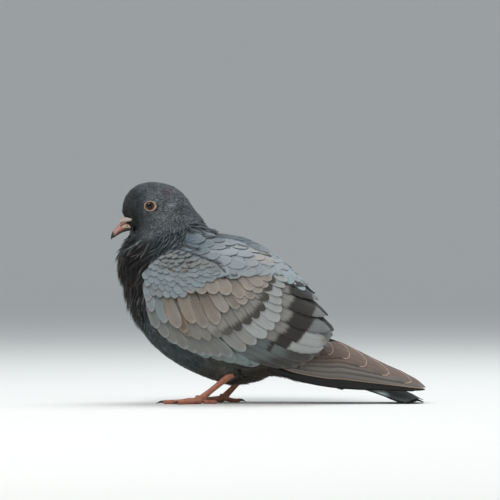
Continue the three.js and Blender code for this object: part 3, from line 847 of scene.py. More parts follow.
def feather_row(
    sheet, side, curve, lengths, widths, lift, tilt, seed, lie=WING_LIE, stagger=0.0,
    profile=(0.45, 0.55, 2.2), exact=False, jitter=0.07,
):
    """A row of feathers with their tips on a curve. Returns the vanes, the tips' points, the lengths and
    the shares."""
    rng = np.random.default_rng(seed)
    if exact:
        x, z = np.asarray(curve, float).T
        at = np.linspace(0, 1, len(x))
    else:
        x, z, at = row_tips(curve, widths, stagger)
    width = spaced(widths, at) * rng.uniform(0.93, 1.07, len(at))
    x = x + rng.uniform(-jitter, jitter, len(at)) * width
    z = z + rng.uniform(-jitter, jitter, len(at)) * width
    row, column = sheet.seen_from(side, x, z)
    length = spaced(lengths, at) * rng.uniform(0.93, 1.07, len(at)) * MM
    rows, columns = sheet.walk(row, column, lie_on(lie, 5), length, 1 - ALONG[::-1], back=True)
    sides = np.full(len(at), side)
    made = lay_vanes(
        sheet, rows[:, ::-1], columns[:, ::-1], width * MM / 2, lift, tilt, sides, profile, seed=seed
    )
    tips, _ = sheet.at(row, column)
    return made, tips, length, at


def drawn_row(sheet, side, lines, widths, lift, tilt, seed, profile=(0.6, 0.72, 2.4), camber=0.25):
    """Feathers each along its own line of x, z points in mm, from root to tip. Also gives how far back
    from its tip, in mm, each of their stations lies."""
    flat = np.stack([smooth_rows(line, FINE * (len(line) - 1)) for line in lines])
    row, column = sheet.seen_from(side, flat[..., 0].ravel(), flat[..., 1].ravel())
    rows, columns = row.reshape(flat.shape[:2]), column.reshape(flat.shape[:2])
    half = np.asarray(widths) * MM / 2
    made = lay_vanes(
        sheet, rows, columns, half, lift, tilt, np.full(len(lines), side), profile, camber, seed, FINE
    )
    steps = np.linalg.norm(np.diff(flat, axis=1), axis=-1)
    gone = np.concatenate([np.zeros((len(flat), 1)), np.cumsum(steps, 1)], 1)
    return made, (gone[:, -1:] - gone)[..., None]


def vane_tones(made, base, root=0.45, rim=None, rim_share=1.0, edge=0.8, lower=None):
    """A vane's colours: painted shadow over the root, where the vanes above cover it, a rim of its own
    colour, and a thin edge darkened as painted shadow, which can be darker along the lower side."""
    vane = made[1]
    t, s = vane[..., 0], vane[..., 1] * 2 - 1
    colour = np.broadcast_to(base[:, None, None, :], vane.shape)
    # Painted shadow over the root, where the vanes above cover it.
    colour = colour * (1 - root * (1 - ease(0.1, 0.75, t)))[..., None]
    outer = np.maximum(ease(0.72, 0.88, np.abs(s)) * ease(0.45, 0.75, t), ease(0.9, 0.97, t))
    if rim is not None:
        colour = mix(colour, rim, outer * rim_share)
    # A thin edge darkened as painted shadow between overlapping vanes.
    dark = np.maximum(ease(0.95, 1, np.abs(s)) * ease(0.35, 0.6, t), ease(0.982, 1, t))
    colour = colour * (1 - (1 - edge) * dark)[..., None]
    # A painted shadow line along the lower side.
    if lower is not None:
        colour = colour * (1 - (1 - lower) * ease(0.84, 0.97, s) * ease(0.2, 0.5, t))[..., None]
    return colour


def row_base(points, hue, seed, brown=-0.5, spread=0.1):
    """A row's colour at these points, with patches of brown."""
    rng = np.random.default_rng(seed)
    share = ease(0.1, 0.9, mottle(points, 13, 5) + brown)
    colour = mix(plain(hue, points), HUE["brown"], share * 0.6)
    return colour * (1 + rng.uniform(-spread, spread, (len(points), 1)))


def line_distance(x, z, line):
    """How far, in mm, the places x, z are from a line of points."""
    best = np.full(x.shape, 1e9)
    for (ax, az), (bx, bz) in zip(line[:-1], line[1:]):
        way_x, way_z = bx - ax, bz - az
        along = np.clip(((x - ax) * way_x + (z - az) * way_z) / (way_x**2 + way_z**2), 0, 1)
        best = np.minimum(best, np.hypot(x - ax - along * way_x, z - az - along * way_z))
    return best


def wash(made, colours):
    """Tints colours with the patches of the wing and back, and paints shadow into the gaps between
    ruffled feathers."""
    x, z = side_view(made[0])
    for patch_x, patch_z, wide, high, *tint in PATCHES:
        share = bump((x - patch_x) / wide, (z - patch_z) / high)[..., None]
        colours = colours * (1 + share * (np.array(tint) - 1))
    ragged = 0.3 * mottle(made[0], 2.2, 7)
    # Each gap is painted over with a dark hue, as the shadow between the feathers.
    for line, half, hue in GAP_SHADOWS:
        gap = line_distance(x, z, line) + ragged
        colours = mix(colours, HUE[hue], ease(half + 0.3, half - 0.3, gap) * 0.85)
    return colours


# ---------------- materials


def value_node(tree, operation, a, b=None, c=None):
    node = tree.nodes.new("ShaderNodeMath")
    node.operation = operation
    for socket, value in zip(node.inputs, (a, b, c)):
        if value is None:
            continue
        if isinstance(value, (int, float)):
            socket.default_value = value
        else:
            tree.links.new(value, socket)
    return node.outputs[0]


def barb_group():
    """Shader group: fine barbs that run off a vane's shaft, as a colour and a height."""

    def make():
        group = bpy.data.node_groups.new("Feather Barbs", "ShaderNodeTree")
        face = group.interface
        face.new_socket("Tint", in_out="INPUT", socket_type="NodeSocketColor")
        for name, value in (("Count", 60.0), ("Slant", 1.6), ("Contrast", 0.2), ("Shaft", 0.3)):
            face.new_socket(name, in_out="INPUT", socket_type="NodeSocketFloat").default_value = value
        face.new_socket("Color", in_out="OUTPUT", socket_type="NodeSocketColor")
        face.new_socket("Height", in_out="OUTPUT", socket_type="NodeSocketFloat")
        enter, leave = group.nodes.new("NodeGroupInput"), group.nodes.new("NodeGroupOutput")

        def step(operation, *values):
            return value_node(group, operation, *values)

        attribute = group.nodes.new("ShaderNodeAttribute")
        attribute.attribute_name = "vane"
        split = group.nodes.new("ShaderNodeSeparateXYZ")
        group.links.new(attribute.outputs["Vector"], split.inputs[0])
        along, across, own = split.outputs
        off = step("ABSOLUTE", step("SUBTRACT", across, 0.5))
        slanted = step("MULTIPLY", off, enter.outputs["Slant"])
        lengthwise = step("SUBTRACT", along, slanted)
        join = group.nodes.new("ShaderNodeCombineXYZ")
        group.links.new(step("MULTIPLY", lengthwise, enter.outputs["Count"]), join.inputs[0])
        group.links.new(step("MULTIPLY", across, 3.0), join.inputs[1])
        group.links.new(step("MULTIPLY", own, 80.0), join.inputs[2])
        noise = group.nodes.new("ShaderNodeTexNoise")
        noise.inputs["Scale"].default_value = 1.0
        noise.inputs["Detail"].default_value = 2.0
        group.links.new(join.outputs[0], noise.inputs["Vector"])
        grain = step("SUBTRACT", noise.outputs["Fac"], 0.5)
        light = step("MULTIPLY_ADD", grain, enter.outputs["Contrast"], 1.0)
        shaft = step("SUBTRACT", 1.0, step("MULTIPLY", off, 26.0))
        shaft = step("MULTIPLY", step("MAXIMUM", shaft, 0.0), enter.outputs["Shaft"])
        light = step("MULTIPLY", light, step("SUBTRACT", 1.0, shaft))
        scale = group.nodes.new("ShaderNodeVectorMath")
        scale.operation = "SCALE"
        group.links.new(enter.outputs["Tint"], scale.inputs[0])
        group.links.new(light, scale.inputs["Scale"])
        group.links.new(scale.outputs[0], leave.inputs["Color"])
        group.links.new(step("ADD", grain, shaft), leave.inputs["Height"])
        return group

    return once("barbs", make)


def tinted_material(name, roughness, specular=0.3, **constants):
    """A material that takes its colour from the mesh."""
    material = bpy.data.materials.new(name)
    material.use_nodes = True
    tree = material.node_tree
    shader = tree.nodes["Principled BSDF"]
    shader.inputs["Roughness"].default_value = roughness
    shader.inputs["Specular IOR Level"].default_value = specular
    for key, value in constants.items():
        shader.inputs[key.replace("_", " ").title()].default_value = value
    tint = tree.nodes.new("ShaderNodeAttribute")
    tint.attribute_name = "tint"
    tree.links.new(tint.outputs["Color"], shader.inputs["Base Color"])
    return material, tree, shader, tint


def plumage(name, roughness, count, slant, contrast, shaft, bump, sheen=0.15):
    """Feathers: the mesh's colour, broken into barbs."""

    def make():
        material, tree, shader, tint = tinted_material(
            name, roughness, 0.25, Sheen_Weight=sheen, Sheen_Roughness=0.5
        )
        group = tree.nodes.new("ShaderNodeGroup")
        group.node_tree = barb_group()
        for key, value in (("Count", count), ("Slant", slant), ("Contrast", contrast), ("Shaft", shaft)):
            group.inputs[key].default_value = value
        tree.links.new(tint.outputs["Color"], group.inputs["Tint"])
        tree.links.new(group.outputs["Color"], shader.inputs["Base Color"])
        rough = tree.nodes.new("ShaderNodeBump")
        rough.inputs["Strength"].default_value = bump
        rough.inputs["Distance"].default_value = 0.0002
        tree.links.new(group.outputs["Height"], rough.inputs["Height"])
        tree.links.new(rough.outputs["Normal"], shader.inputs["Normal"])
        return material

    return once(name, make)


# Feather materials: name, roughness, the barbs' count, slant and contrast, the shaft's mark and the bump.
PLUMAGES = {
    "down": ("Soft Down", 0.75, 8, 0.3, 0.25, 0.0, 0.2),
    "coverts": ("Covert Vanes", 0.62, 55, 0.8, 0.3, 0.18, 0.5),
    "quills": ("Quill Vanes", 0.5, 110, 0.6, 0.22, 0.4, 0.4),
}
# Bare materials: name, roughness and specular level.
BARES = {
    "skin": ("Skin under Down", 0.85),
    "horn": ("Bill Horn", 0.38, 0.4),
    "soft": ("Bare Skin", 0.6, 0.3),
    "legs": ("Leg Scales", 0.5, 0.35),
    "eye": ("Eye", 0.06, 0.3),
}


def look(key):
    """The material of this key, one for all pieces that ask for it."""
    if key in PLUMAGES:
        return plumage(*PLUMAGES[key])
    glow = {"Subsurface_Weight": 0.12, "Subsurface_Scale": 0.001} if key == "soft" else {}
    return once(key, lambda: tinted_material(*BARES[key], **glow)[0])


# ---------------- settings


class PigeonCoat(bpy.types.PropertyGroup):
    """Sizes of the coat."""

    skin_depth: FloatProperty(
        name="Skin Depth", description="Depth of the skin under the body's plumage",
        default=0.0022, unit="LENGTH", subtype="DISTANCE",
    )
    face_depth: FloatProperty(
        name="Face Depth", description="Depth of the skin under the head's short feathers",
        default=0.0012, unit="LENGTH", subtype="DISTANCE",
    )
    head_tufts: IntProperty(
        name="Head Tufts", description="Number of small feathers on the head", default=11500
    )
    neck_tufts: IntProperty(name="Neck Hackles", description="Number of hackles on the neck", default=1200)
    body_tufts: IntProperty(
        name="Body Tufts", description="Number of soft feathers on breast and belly", default=4000
    )


class PigeonStage(bpy.types.PropertyGroup):
    """Sizes of the stage."""

    distance: FloatProperty(
        name="Camera Distance", description="Distance of the camera from the bird",
        default=3.0, unit="LENGTH", subtype="DISTANCE",
    )
    field: FloatProperty(
        name="Field Width", description="Width that the camera takes in at the bird",
        default=0.38, unit="LENGTH", subtype="DISTANCE",
    )
    light: FloatProperty(name="Light", description="Brightness of the soft lights", default=0.8)


# ---------------- operators


# The skin's hollow under each eye, in mm: its radius, how far out it starts and how far out its floor lies.
EYE_HOLLOW = (4.6, 4, 11.5)


class PIGEON_OT_skin(bpy.types.Operator):
    """Lay one closed skin under the whole coat"""

    bl_idname = "pigeon.skin"
    bl_label = "Skin"

    def execute(self, context):
        coat = context.scene.pigeon_coat
        sheet = body_sheet()
        share = ease(-8, 4, on_head(sheet.points))[..., None]
        depth = coat.skin_depth + (coat.face_depth - coat.skin_depth) * share
        points = sheet.points - sheet.normals * depth
        radius, outset, floor = EYE_HOLLOW
        for side in SIDES.values():
            lo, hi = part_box("eye_left" if side < 0 else "eye_right")
            gap = np.hypot(points[..., 0] - (lo.x + hi.x) / 2, points[..., 2] - (lo.z + hi.z) / 2)
            out = points[..., 1] * side
            hollow = (gap < radius * MM) & (out > outset * MM)
            points[..., 1] = np.where(hollow, side * np.minimum(out, floor * MM), points[..., 1])
        # The skin takes the plumage's colour at half brightness, as painted shade deep between the feathers.
        piece = ring_piece("skin", points, body_hue(sheet.points) * 0.5)
        settle(piece, look("skin"), "body_plumage", *FLESH)
        return {"FINISHED"}


# The bare ring round the eye: x, z of its middle, half its width and half its height, in mm.
EYE_RING = (-89.9, 149.5, 5.5, 4.75)


def bare_face(points):
    """1 on the plumage, and 0 over the eyes and the bill's bare base."""
    ring_x, ring_z, half_width, half_height = EYE_RING
    x, z = side_view(points)
    eye = np.hypot((x - ring_x) / half_width, (z - ring_z) / half_height)
    cere = (x < -105.8) & (z < 142.2 + 0.06 * (x + 110)) & (z > 139 - 0.25 * (x + 110))
    mouth = (x < -104.5) & (z < 141)
    return ((eye > 1) & ~cere & ~mouth).astype(float)


class PIGEON_OT_head_coat(bpy.types.Operator):
    """Cover the head with small feathers"""

    bl_idname = "pigeon.head_coat"
    bl_label = "Head feathers"

    def execute(self, context):
        sheet = body_sheet()
        count = context.scene.pigeon_coat.head_tufts
        row, column = sheet.spread(count, lambda p: ease(-9, -3, on_head(p)) * bare_face(p), 11)
        p, _ = sheet.at(row, column)
        rng = np.random.default_rng(21)
        face = ease(-92, -106, p[:, 0] / MM)
        low = ease(12, -6, on_head(p))
        length = (3.1 + 2.6 * low - 1.0 * face) * rng.uniform(0.8, 1.25, count) * MM
        width = (1.6 + 0.5 * low - 0.55 * face) * rng.uniform(0.85, 1.2, count) * MM
        lift = (-1.1 - 0.5 * low, 0.25 + 0.35 * low)
        marks = (0, 0.4, 0.75, 1)
        made = tufts(
            sheet, row, column, lie_on(BODY_LIE, 6), length, width, lift, 2, marks, 0.35, 31, spike=0.4
        )
        tuft_pieces("head_coat", made, tuft_tones(made, 0.5, 0.75, 0.7, 0.35), look("down"), "head_plumage")
        return {"FINISHED"}


class PIGEON_OT_neck_coat(bpy.types.Operator):
    """Cover the neck with ruffled hackles over an undercoat darkened with painted shade"""

    bl_idname = "pigeon.neck_coat"
    bl_label = "Neck hackles"

    def execute(self, context):
        sheet = body_sheet()
        count = context.scene.pigeon_coat.neck_tufts
        rng = np.random.default_rng(22)
        lie = lie_on(BODY_LIE, 6)

        def region(p):
            nape = ease(-80, -72, p[..., 0] / MM) * ease(1, -5, on_neck(p))
            join = on_neck(p) + 6 * mottle(p, 9, 15)
            return ease(-24, -6, join) * ease(4, -4, on_head(p)) * bare_of_wing(p) * (1 - nape)

        for name, many, seed in (("neck_down", count * 2, 12), ("neck_coat", count, 14)):
            row, column = sheet.spread(many, region, seed)
            p, _ = sheet.at(row, column)
            x, z = side_view(p)
            front = ease(-78, -100, x)
            join = ease(-24, -6, on_neck(p))
            calm = ease(-94, -84, x) * ease(98, 106, z)
            if name == "neck_down":
                length = rng.uniform(6, 9, many) * MM
                width = rng.uniform(2, 3, many) * MM
                marks = (0, 0.4, 0.75, 1)
                made = tufts(sheet, row, column, lie, length, width, (-2, -0.4), 2, marks, 0.35, seed)
                # The undercoat is darkened further, as painted shade in the gaps between the hackles.
                colours = tuft_tones(made, 0.4, 0.9, 0.3) * 0.55
            else:
                length = (9.5 + 5 * front * join - 1.5 * calm) * rng.uniform(0.75, 1.2, many) * MM
                width = (2.7 + 0.5 * front - 0.6 * calm) * rng.uniform(0.75, 1.25, many) * MM
                high = 0.4 + 3.4 * join * front * rng.uniform(0, 1, many) ** 1.5 - 0.2 * calm
                marks = (0, 0.22, 0.45, 0.7, 0.88, 1)
                made = tufts(
                    sheet, row, column, lie, length, width, (-1.9, high), 6, marks, -0.2, 32,
                    sweep=0.15, spike=0.3, width_end=2.4, clump=0.35, swell=1.0,
                )
                colours = tuft_tones(made, 0.3, 0.95, 2.2, 1.25 - 0.8 * calm, 0.9)
            tuft_pieces(name, made, colours, look("down"), "neck_plumage")
        return {"FINISHED"}


LEG_REACH = 0.009  # how far round the top of a leg the feathers turn down it


class PIGEON_OT_body_coat(bpy.types.Operator):
    """Cover the breast, belly, thighs and vent with soft feathers"""

    bl_idname = "pigeon.body_coat"
    bl_label = "Body feathers"

    def execute(self, context):
        sheet = body_sheet()
        count = context.scene.pigeon_coat.body_tufts
        row, column = sheet.spread(count, lambda p: ease(0, -14, on_neck(p)) * bare_of_wing(p), 13)
        p, _ = sheet.at(row, column)
        x, z = side_view(p)
        rng = np.random.default_rng(23)
        shaggy = ease(-48, -34, x) * ease(26, 12, x) * ease(34, 24, z)
        lie = lie_on(BODY_LIE, 6)
        legs = [sorted(axis_ends(f"shank_{name}"), key=lambda end: end[2]) for name in SIDES]

        def by_leg(p):
            gaps = [np.linalg.norm(p - high + (high - low) * 0.1, axis=-1) for low, high in legs]
            return np.stack([np.exp(-((gap / LEG_REACH) ** 2)) for gap in gaps], -1)

        def steer(p, n):
            way, near = lie(p, n), by_leg(p)
            for k, (low, high) in enumerate(legs):
                share = np.clip(near[..., k : k + 1] * 1.6, 0, 1)
                way = way * (1 - share) + unit(low - high) * share
            return unit(way - n * dot(way, n))

        length = (rng.uniform(9, 13, count) + 2 * shaggy) * MM
        width = rng.uniform(4, 6, count) * (1 - 0.35 * shaggy) * MM
        lift = (-1.8, 0.4 + 1.8 * shaggy * rng.uniform(0, 1, count) + 3 * by_leg(p).sum(-1))
        made = tufts(
            sheet, row, column, steer, length, width, lift, 6, (0, 0.4, 0.75, 1), 0.1, 33, spike=0.35,
            clump=0.25, swell=0.5,
        )
        tones = tuft_tones(made, 0.25, 0.6, 0.5, 0.25, 0.3)
        tuft_pieces("body_coat", made, tones, look("down"), "body_plumage")
        return {"FINISHED"}


# The coverts' tips, as x, z in mm along each row. The rows of lesser coverts lie between a low and a top
# one, and each begins on the front edge.
FRONT_EDGE = ((-92.5, 84), (-94.3, 91), (-93.3, 97), (-90, 103), (-84, 108), (-77, 112.5), (-72, 116))
LESSER_LOW = ((-85, 81.5), (-76, 81), (-66, 80), (-57, 86), (-48, 90), (-37, 96.5))
LESSER_TOP = ((-71, 115.4), (-66, 114.8), (-60, 113), (-52, 109.8), (-44, 106), (-36, 101.5))
MEDIAN_UPPER = ((-56, 84), (-48, 83.5), (-39, 84), (-30, 83.5), (-20, 81), (-12, 87), (-5, 90), (2, 94.5))
MEDIAN = (
    (-90, 78), (-86.5, 70), (-77, 62.3), (-67, 58.7), (-61, 55), (-55, 62), (-46.5, 58.5), (-38, 61.5),
    (-31, 69.5), (-23, 72.5), (-17, 76), (-11, 80.6), (-5.5, 85), (-0.3, 89.5),
)
BAR_ONE = (
    (-58, 52), (-51, 50), (-43.5, 49.5), (-35.5, 51.5), (-28.5, 53.5), (-21.5, 56.5), (-14, 61.5),
    (-7.5, 65.8), (-3, 71.5), (-0.5, 79), (2.5, 87), (4.5, 93),
)
GREATER = (
    (-83, 58), (-76, 51), (-68.5, 46.5), (-61, 42.5), (-54.5, 40), (-48.5, 38.2), (-42, 37.4), (-35.5, 37),
    (-27, 36.8), (-17, 41.5), (-9.5, 46.5), (-2, 52), (3.4, 58), (8.2, 64), (9.8, 70.5), (9.8, 76.5),
    (10.3, 82.5), (12.3, 88.5), (14, 93),
)
# Soft, pale feathers under the wing's lower edge.
FLANK_TIPS = ((-44, 35.5), (-35, 34.2), (-25, 31.5), (-15, 30.8), (-6, 30.5))
# The secondaries, each from its covered root to its tip as x, z in mm, with its width.
SECONDARIES = (
    (((-22, 102), (2, 98.5), (29, 90.5)), 11.5),
    (((-18, 95), (8, 90.5), (24, 86.3), (36.5, 80.2)), 12.5),
    (((-18, 89), (4, 82.5), (24, 75), (42.3, 67.8)), 13.5),
    (((-20, 80), (2, 73.5), (24, 64), (46, 56.8)), 13.8),
    (((-22, 71), (-2, 65), (19, 54), (32, 49.6), (43.4, 48)), 13),
    (((-26, 64), (-8, 58.5), (12, 48.6), (26, 44.6), (41, 43.4)), 12.5),
    (((-28, 56), (-10, 50), (10, 40.4), (22, 37), (34.2, 36)), 12),
    (((-30, 50), (-12, 45), (4, 38.8), (15, 34.8), (28, 31.2)), 11),
    (((-34, 46), (-16, 41.4), (-4, 37), (8, 32.6), (22, 28.8)), 10),
    (((-36, 43), (-20, 38.8), (-8, 34.4), (2, 31), (13, 28.4)), 9),
)
# Each secondary's dark bar: how far it starts and stops from the tip, in mm, and how both lean towards the
# lower edge.
BAR_TWO = (
    (3.3, 16, 1), (3.8, 22, 1), (7.8, 26.5, 2.2), (13.6, 30.5, 3), (18.2, 31.5, 2.4), (23.8, 35.5, 2),
    (31.5, 35, 0),
)
# Dark feathers under the secondaries' tips, laid out in the same way.
UNDER_TIPS = (
    (((-2, 97), (18, 94), (38.5, 79.5)), 9),
    (((2, 90), (24, 84), (46, 68)), 10),
    (((4, 80), (28, 72), (50.5, 56.5)), 10.5),
    (((6, 68), (30, 60), (51.5, 51)), 10),
    (((10, 58), (30, 53), (48.5, 46.5)), 11),
    (((4, 50), (24, 44), (40, 38)), 12),
)
# Tinted patches: x, z in mm, their reach along both, and the tint.
PATCHES = (
    (-4, 110, 8, 4, 1.16, 0.97, 0.88),
    (-75.5, 72, 4, 8, 1.15, 1.0, 0.9),
    (-63, 62, 5, 10, 0.92, 0.8, 0.7),
    (-50, 73, 9, 9, 1.05, 0.97, 0.88),
    (-25, 87, 10, 5, 1.05, 1.0, 0.94),
    (-32, 76, 5, 4, 1.15, 1.2, 1.22),
    (-18, 86, 5, 4, 1.15, 1.18, 1.18),
    (-18, 47, 5, 5, 1.06, 0.97, 0.92),
    (-80, 106, 9, 5, 0.96, 0.92, 0.86),
    (-84, 66, 5, 8, 0.8, 0.88, 0.92),
    (42, 49, 3, 4, 0.72, 0.6, 0.52),
    (-60, 122, 10, 9, 0.72, 0.86, 0.92),
)
# Painted shadow in the gaps between ruffled feathers: points x, z in mm along them, half the width
# and the hue.
GAP_SHADOWS = (
    (((-79, 110), (-69, 109.6), (-59, 110.4)), 0.5, "shadow_black"),
    (((-77, 106.6), (-66, 106.4), (-57, 107.4)), 0.5, "shadow_black"),
    (((-70, 103.4), (-62, 102.6), (-52, 103)), 0.4, "bar_soft_and_shadow"),
    (((-82, 104.5), (-75, 103.6)), 0.4, "bar_soft_and_shadow"),
    (((-75.5, 101.8), (-70.5, 100.2)), 0.6, "brown_shadow"),
    (((-64.5, 100.2), (-61, 101), (-57.5, 100)), 0.6, "brown_shadow"),
    (((-61.6, 105.6), (-59.8, 103.4)), 0.7, "brown_shadow"),
    (((-70, 120.2), (-62, 119.2), (-52, 116.2)), 1.0, "shadow_black"),
    (((-69, 117.4), (-60, 114.8), (-52, 111.6), (-45, 109), (-35, 106)), 0.8, "shadow_black"),
    (((-41, 107.4), (-36, 103.6), (-32.5, 100)), 0.7, "shadow_black"),
    (((-35.8, 95.6), (-30, 96.6), (-24, 97.4)), 0.7, "shadow_black"),
    (((-49, 126.6), (-36, 126.2), (-25, 125), (-14, 122), (1, 115)), 0.9, "shadow_black"),
    (((-24, 120.6), (-14, 118.6), (-4, 115), (7, 110)), 0.7, "bar_soft_and_shadow"),
    (((2.5, 98.6), (9, 97.2), (16, 95.4)), 0.5, "shadow_black"),
)
LESSER_ROWS = 9


def dress_wing(side_name):
    """Rows of feathers over one folded wing, from its lower edge up to its top edge."""
    side, sheet, gathered = SIDES[side_name], wing_sheet(), Vanes()

    # Dark feathers show past the secondaries' tips.
    lines, widths = zip(*UNDER_TIPS)
    made, _ = drawn_row(sheet, side, lines, widths, (-2.8, -1.3), 0.1, 40)
    base = np.stack([HUE[hue] for hue in ("bar", "bar", "bar", "tip", "tip", "brown")])
    gathered.add(made, vane_tones(made, base, 0.3, None, 0, 0.8))

    # Soft feathers of the flank show under the wing.
    made, tips, _, _ = feather_row(
        sheet, side, FLANK_TIPS, (24, 26, 24), (11, 12.5, 11), (-2.6, -0.6), 0.1, 38, exact=True,
        profile=(0.5, 0.55, 2.0),
    )
    gathered.add(made, vane_tones(made, row_base(tips, HUE["mist"], 38), 0.5, None, 0, 0.8, 0.7))

    # Secondaries: a grey root, a charcoal block and a pale end.
    lines, widths = zip(*SECONDARIES)
    made, back = drawn_row(sheet, side, lines, widths, (-2.2, 0.2), 0.5, 41)
    count = len(lines)
    # The four lowest end dark: partly their own colour, partly painted shadow under the wing's edge.
    ends = np.stack([HUE[hue] for hue in ["tip"] * 4 + ["ash"] * 2 + ["low"] * 4])
    colours = vane_tones(made, plain(HUE["base"], ends), 0.1, HUE["white"], 0.3, 0.8, 0.9)
    bars = np.array(BAR_TWO + ((90, 91, 0),) * (count - len(BAR_TWO)))
    start, stop, lean = (bars[:, k, None, None] for k in range(3))
    across = made[1][..., 1] * 2 - 1
    own = made[1][..., 2]
    fringe = 0.5 * np.sin(across * 21 + 40 * own) + 0.4 * np.sin(across * 47 + 60 * own)
    start, stop = start + lean * across, stop + lean * across
    band = ease(start - 0.4, start + 0.8, back + 0.4 * fringe)
    band = band * ease(stop + 2, stop - 1.6, back + 1.4 * fringe)
    colours = mix(colours, plain(ends[:, None, None, :], colours), ease(start + 1, start - 1, back))
    # The four lowest are dark all over, partly as painted shadow, with grey rims, edges darkened as
    # painted shadow, and mist towards the root.
    lowest = np.arange(count)[:, None, None] >= 6
    colours = np.where(lowest[..., None], vane_tones(made, ends, 0.0, HUE["grey"], 0.5, 0.5), colours)
    colours = mix(colours, HUE["mist"], lowest * ease(16, 28, back) * 0.5)
    shadow = ease(0.7, 1.0, across) * 0.3 + ease(-0.6, -1.0, across) * 0.15
    colours = mix(colours, HUE["bar"], band * 0.97) * (1 - shadow)[..., None]
    gathered.add(made, wash(made, colours))

    # Greater coverts: long, plain, with soft pale ends.
    lengths, widths = (26, 30, 32, 34, 38, 40, 40, 38, 34), (9, 9.6, 9.6, 10, 11, 11.5, 11, 10.5, 10.5)
    made, tips, _, at = feather_row(
        sheet, side, GREATER, lengths, widths, (-2.2, 0.5), 0.5, 42, exact=True, profile=(0.6, 0.66, 2.3),
        jitter=0.04,
    )
    base = mix(row_base(tips, HUE["ash"], 42, -0.6), HUE["grey"], ease(0.62, 0.4, at))
    colours = vane_tones(made, base, 0.3, HUE["white"], 0.35, 0.85, 0.72)
    gathered.add(made, wash(made, colours))

    # First bar.
    made, tips, length, at = feather_row(
        sheet, side, BAR_ONE, (26, 28, 28, 28, 26, 24), (9, 9.5, 9.8, 10, 10, 9.5), (-2.0, 0.5), 0.45, 43,
        exact=True, profile=(0.55, 0.62, 2.1), jitter=0.04,
    )
    colours = vane_tones(made, row_base(tips, HUE["base"], 43, -0.2), 0.25, HUE["rim"], 0.2, 0.85, 0.7)
    back = (1 - made[1][..., 0]) * length[:, None, None] / MM
    fringe = 0.9 * np.sin(made[1][..., 1] * 23 + 9 * made[1][..., 2])
    bar = ease(8.5, 4.5, back + fringe) * ease(0.12, 0.45, at)[:, None, None]
    gathered.add(made, wash(made, mix(colours, HUE["bar_soft_and_shadow"], bar * 0.95)))

    # Median coverts: long ones with pale rims, and over them a row of short ones.
    for seed, curve, lengths, widths, lift in (
        (44, MEDIAN, (20, 26, 30, 30, 28, 24, 20, 18), (9, 10, 10.5, 11, 11, 10, 9.5, 9), 0.6),
        (45, MEDIAN_UPPER, (20, 22, 22, 20, 18), (11, 11, 10.5, 10, 9.5), 0.7),
    ):
        made, tips, _, _ = feather_row(
            sheet, side, curve, lengths, widths, (-2.0, lift), 0.5, seed, exact=True,
            profile=(0.5, 0.6, 2.4), jitter=0.05,
        )
        base = row_base(tips, HUE["tan"], seed, -0.5, 0.2)
        base = mix(base, HUE["lesser"], ease(-62, -78, tips[:, 0] / MM) * 0.8)
        gathered.add(made, wash(made, vane_tones(made, base, 0.3, HUE["rim"], 0.55, 0.7, 0.6)))

    # Lesser coverts, in rows of scales from the wing's lower front up to its top edge.
    front = smooth_rows(FRONT_EDGE, np.linspace(0, len(FRONT_EDGE) - 1.001, LESSER_ROWS))
    for k in range(LESSER_ROWS):
        share = k / (LESSER_ROWS - 1)
        curve = np.array(LESSER_LOW) + (np.array(LESSER_TOP) - np.array(LESSER_LOW)) * share
        curve = np.concatenate([front[k : k + 1], curve])
        widths = np.array([7, 8.5, 9.5, 10.5, 11.5, 11.5]) * (1 - 0.22 * share)
        made, tips, _, _ = feather_row(
            sheet, side, curve, widths * 1.75, widths, (-1.8, 0.55 + 0.2 * share), 0.4, 50 + k,
            stagger=0.25 if k % 2 else -0.25, profile=(0.5, 0.5, 2.2), jitter=0.13,
        )
        base = mix(row_base(tips, HUE["lesser"], 50 + k, -0.6, 0.1), HUE["dun"], ease(0.45, 0.9, share) * 0.8)
        gathered.add(made, wash(made, vane_tones(made, base, 0.45, HUE["pale"], 0.4, 0.7, 0.55)))
    return gathered


# The lower edge of the mantle over the wings, as x, z in mm.
BACK_LINE = (
    (-70, 119), (-55, 113), (-46, 109), (-35, 103.5), (-30, 99), (-21, 97.5), (-9, 98), (3, 98), (15, 95.5),
    (26, 90.5),
)
# Rows of scapulars, from the lowest: the feathers' tips along each, their lengths and their widths, in mm.
SCAPULAR_ROWS = (
    (
        (
            (-62, 116.5), (-50, 111.5), (-40, 106.5), (-31, 99.5), (-21, 97.5), (-9, 98.5), (3, 99),
            (15, 96.5), (25, 91.5),
        ),
        (16, 22, 28, 32, 28),
        (9, 12, 14, 15, 13),
    ),
    (
        ((-57, 119.5), (-44, 115.5), (-33, 110), (-23, 105.5), (-10, 105), (4, 104), (15, 101.5), (25, 95.5)),
        (16, 24, 30, 32, 28),
        (9, 13, 15, 15, 13),
    ),
    (
        ((-52, 124), (-40, 120.5), (-27, 115.5), (-13, 111.5), (1, 109), (12, 105.5), (21, 99.5)),
        (16, 24, 30, 30, 26),
        (10, 13, 15, 15, 13),
    ),
    (((-46, 127.5), (-33, 123), (-20, 119), (-8, 114), (4, 109.5)), (16, 24, 28, 26), (10, 12, 13, 12)),
)
MANTLE_FEATHERS = 340
RUMP_FEATHERS = 150


